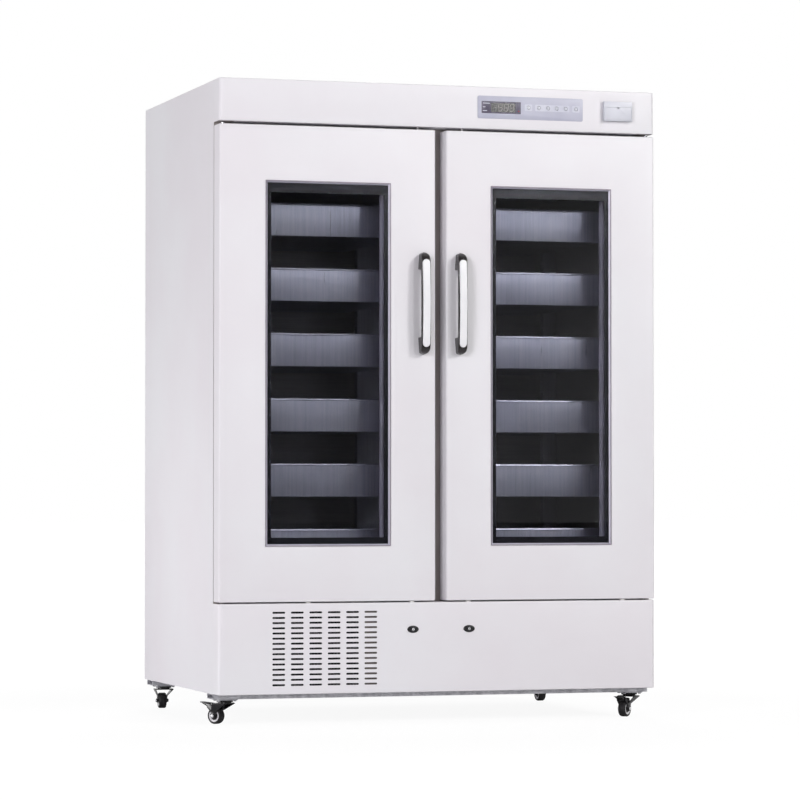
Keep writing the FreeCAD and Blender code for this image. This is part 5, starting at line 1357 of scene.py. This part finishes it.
door_lo, door_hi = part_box("left_door_shell")
z0, z1 = door_hi.z, head_lo.z
profile = [(4.02 * mm, z0), (5.2 * mm, z0), (5.4 * mm, z0 + 0.4 * mm), (5.4 * mm, z1 - 0.6 * mm),
           (5.2 * mm, z1 - 0.2 * mm), (4.02 * mm, z1 - 0.2 * mm)]
sleeves = [turned(profile, (sign * (shell_hi.x - pin_in), door_lo.y + pin_back, 0), "z", 28)
           for side, sign in sides]
piece("hinge_sleeves", joined(*sleeves), "bright_plating")
print("hinge sleeves:", len(sleeves))

# %% Door glides and switches
glide_half, glide_y, switch_y = 7 * mm, low_lo.y + 4 * mm, low_lo.y + 22 * mm
glides = [soft_block((x * mm - glide_half, glide_y, low_hi.z - tiny),
                     (x * mm + glide_half, glide_y + 2 * glide_half, low_hi.z + 3.0 * mm), 0.9 * mm, 2)
          for x in (-420, -91, 90, 595)]
piece("door_glides", joined(*glides), "glide_nylon")
switch_section = [(0, -7), (2.6, -6.6), (3.2, -5.6), (3.2, 0.2), (0, 0.2)]
switch_profile = [(r * mm, head_lo.z + h * mm) for r, h in switch_section]
switches = [turned(switch_profile, (x * mm, switch_y, 0), "z", 24) for x in (-68, 75)]
piece("door_switches", joined(*switches), "glide_nylon")
print("glides:", len(glides), "switches:", len(switches))

# %% [markdown]
# ## Parts that keep their CAD mesh
# The foam, the inner liner and the face frame have flat faces that need nothing more. They stay as
# they came and only get their finish. The face frame's finish is a brownish grey that paints the
# shade in the gaps round the doors, on what is white painted steel.

# %% Finishes on the rest
# the face frame's brownish grey finish paints the shade in the door gaps
kept = {"foam_insulation": "expanded_foam", "inner_liner": "liner_stainless", "face_frame": "frame_coat"}
for node, look in kept.items():
    data = frame["nodes"][node].data
    data.materials.clear()
    data.materials.append(finishes[look])
shown = [n for n, o in frame["nodes"].items() if not o.hide_render and n not in kept]
print("CAD nodes without a finish:", shown)

# %% [markdown]
# ## Studio
# The cabinet stands in a white studio: a soft key from the right front, a fill from the left front,
# and a narrow strip lamp that the steel drawer fronts mirror. Two lamps light the left side, one of
# them close to the floor, and one lights the back. The surround is white where it is seen straight
# or through the glass; mirrored, it is dark in front and pale behind, so the panes stay clear.

# %% How a ray reached the studio
white = (1.0, 1.0, 1.0, 1.0)


def ray_masks(tree):
    """What Light Path says of a ray, as masks.

    They are: glossy, seen straight or through glass, undiffused, unmirrored, mirrored before.
    """
    path = add(tree, "ShaderNodeLightPath").outputs
    straight = math_node(tree, "MAXIMUM", path["Is Camera Ray"], path["Is Transmission Ray"])
    undiffused = math_node(tree, "LESS_THAN", path["Diffuse Depth"], 0.5)
    unmirrored = math_node(tree, "LESS_THAN", path["Glossy Depth"], 0.5)
    mirrored = math_node(tree, "GREATER_THAN", path["Glossy Depth"], 0.5)
    return path["Is Glossy Ray"], straight, undiffused, unmirrored, mirrored


print("ray masks ready")

# %% Floor
floor_half, floor_glow = 60.0, 1.06
floor_grey, mirrored_grey = (0.80, 0.80, 0.80, 1.0), (0.05, 0.05, 0.055, 1.0)
floor = work_object(
    "studio_floor", boxes(((-floor_half, -floor_half, -0.02), (floor_half, floor_half, 0.0))))
floor_material = bpy.data.materials.new("pale_floor")
floor_material.use_nodes = True
tree = floor_material.node_tree
tree.nodes.clear()
glossy, straight, undiffused, unmirrored, mirrored = ray_masks(tree)
away = add(tree, "ShaderNodeVectorMath", {0: add(tree, "ShaderNodeTexCoord").outputs["Object"]},
           operation="LENGTH").outputs[1]
seen = times(tree, times(tree, straight, undiffused), unmirrored)
white_share = times(tree, seen, ramp(tree, away, 1.3, 4.0, 0.87, 1.0))
tone = blend(tree, times(tree, mirrored, ramp(tree, away, 1.4, 3.2)), floor_grey, mirrored_grey)
lit = add(tree, "ShaderNodeBsdfDiffuse", {"Color": tone})
bright = add(tree, "ShaderNodeEmission", {"Color": white, "Strength": floor_glow})
both = add(tree, "ShaderNodeMixShader", {0: white_share, 1: lit.outputs[0], 2: bright.outputs[0]})
add(tree, "ShaderNodeOutputMaterial", {0: both.outputs[0]})
floor.data.materials.append(floor_material)
print("floor:", 2 * floor_half, "m square")

# %% Surround
ambient = 0.12
studio_dark, studio_pale, veil_glow = 0.02, 0.85, 0.10
world = bpy.data.worlds.new("studio")
scene.world = world
world.use_nodes = True
tree = world.node_tree
tree.nodes.clear()
glossy, straight, undiffused, unmirrored, mirrored = ray_masks(tree)
heading = add(tree, "ShaderNodeSeparateXYZ",
              {0: add(tree, "ShaderNodeTexCoord").outputs["Generated"]}).outputs
backdrop = ramp(tree, heading[1], -0.55, -0.1, studio_dark, studio_pale)
veil = times(tree, ramp(tree, heading[0], 0.29, 0.345, 0.0, veil_glow),
             ramp(tree, heading[1], -0.85, -0.9))
in_mirror = times(tree, times(tree, glossy, mirrored), math_node(tree, "ADD", backdrop, veil))
seen = math_node(tree, "MAXIMUM", times(tree, straight, unmirrored), in_mirror)
looked = times(tree, math_node(tree, "MAXIMUM", straight, glossy), undiffused)
strength = math_node(tree, "MULTIPLY_ADD", math_node(tree, "SUBTRACT", 1.0, looked), ambient,
                     times(tree, seen, undiffused))
glow = add(tree, "ShaderNodeBackground", {"Color": white, "Strength": strength})
add(tree, "ShaderNodeOutputWorld", {0: glow.outputs[0]})
print("surround:", ambient)

# %% Lamps
warm, warm_low = (1.0, 0.985, 0.965), (1.0, 0.985, 0.97)
cool, plain = (0.99, 0.97, 1.0), (1.0, 1.0, 1.0)
lamps = [
    # name, place, target, size, watts, tint
    ("key", (6.9, -9.2, 6.6), (0.0, -0.4, 1.0), 1.8, 590.0, warm),
    ("fill", (-5.9, -6.6, 3.0), (0.0, 0.0, 1.0), 2.4, 320.0, cool),
    ("strip", (3.3, -9.0, 3.7), (0.0, -0.4, 1.4), 1.0, 112.0, plain),
    ("side", (-7.0, 0.9, 1.6), (-0.7, 0.0, 1.1), 2.6, 90.0, cool),
    ("low side", (-1.9, 0.1, 0.14), (-0.7, 0.0, 0.25), 0.7, 6.4, warm_low),
    ("back", (2.0, 6.0, 4.0), (0.0, 0.0, 1.0), 3.0, 230.0, plain),
]
for name, place, target, size, watts, tint in lamps:
    data = bpy.data.lights.new(name, "AREA")
    data.shape, data.size, data.energy, data.color = "SQUARE", size, watts, tint
    lamp = bpy.data.objects.new(name, data)
    lamp.location = place
    lamp.rotation_mode = "QUATERNION"
    lamp.rotation_quaternion = (Vector(target) - Vector(place)).to_track_quat("-Z", "Y")
    scene.collection.objects.link(lamp)
print("lamps:", len(lamps))
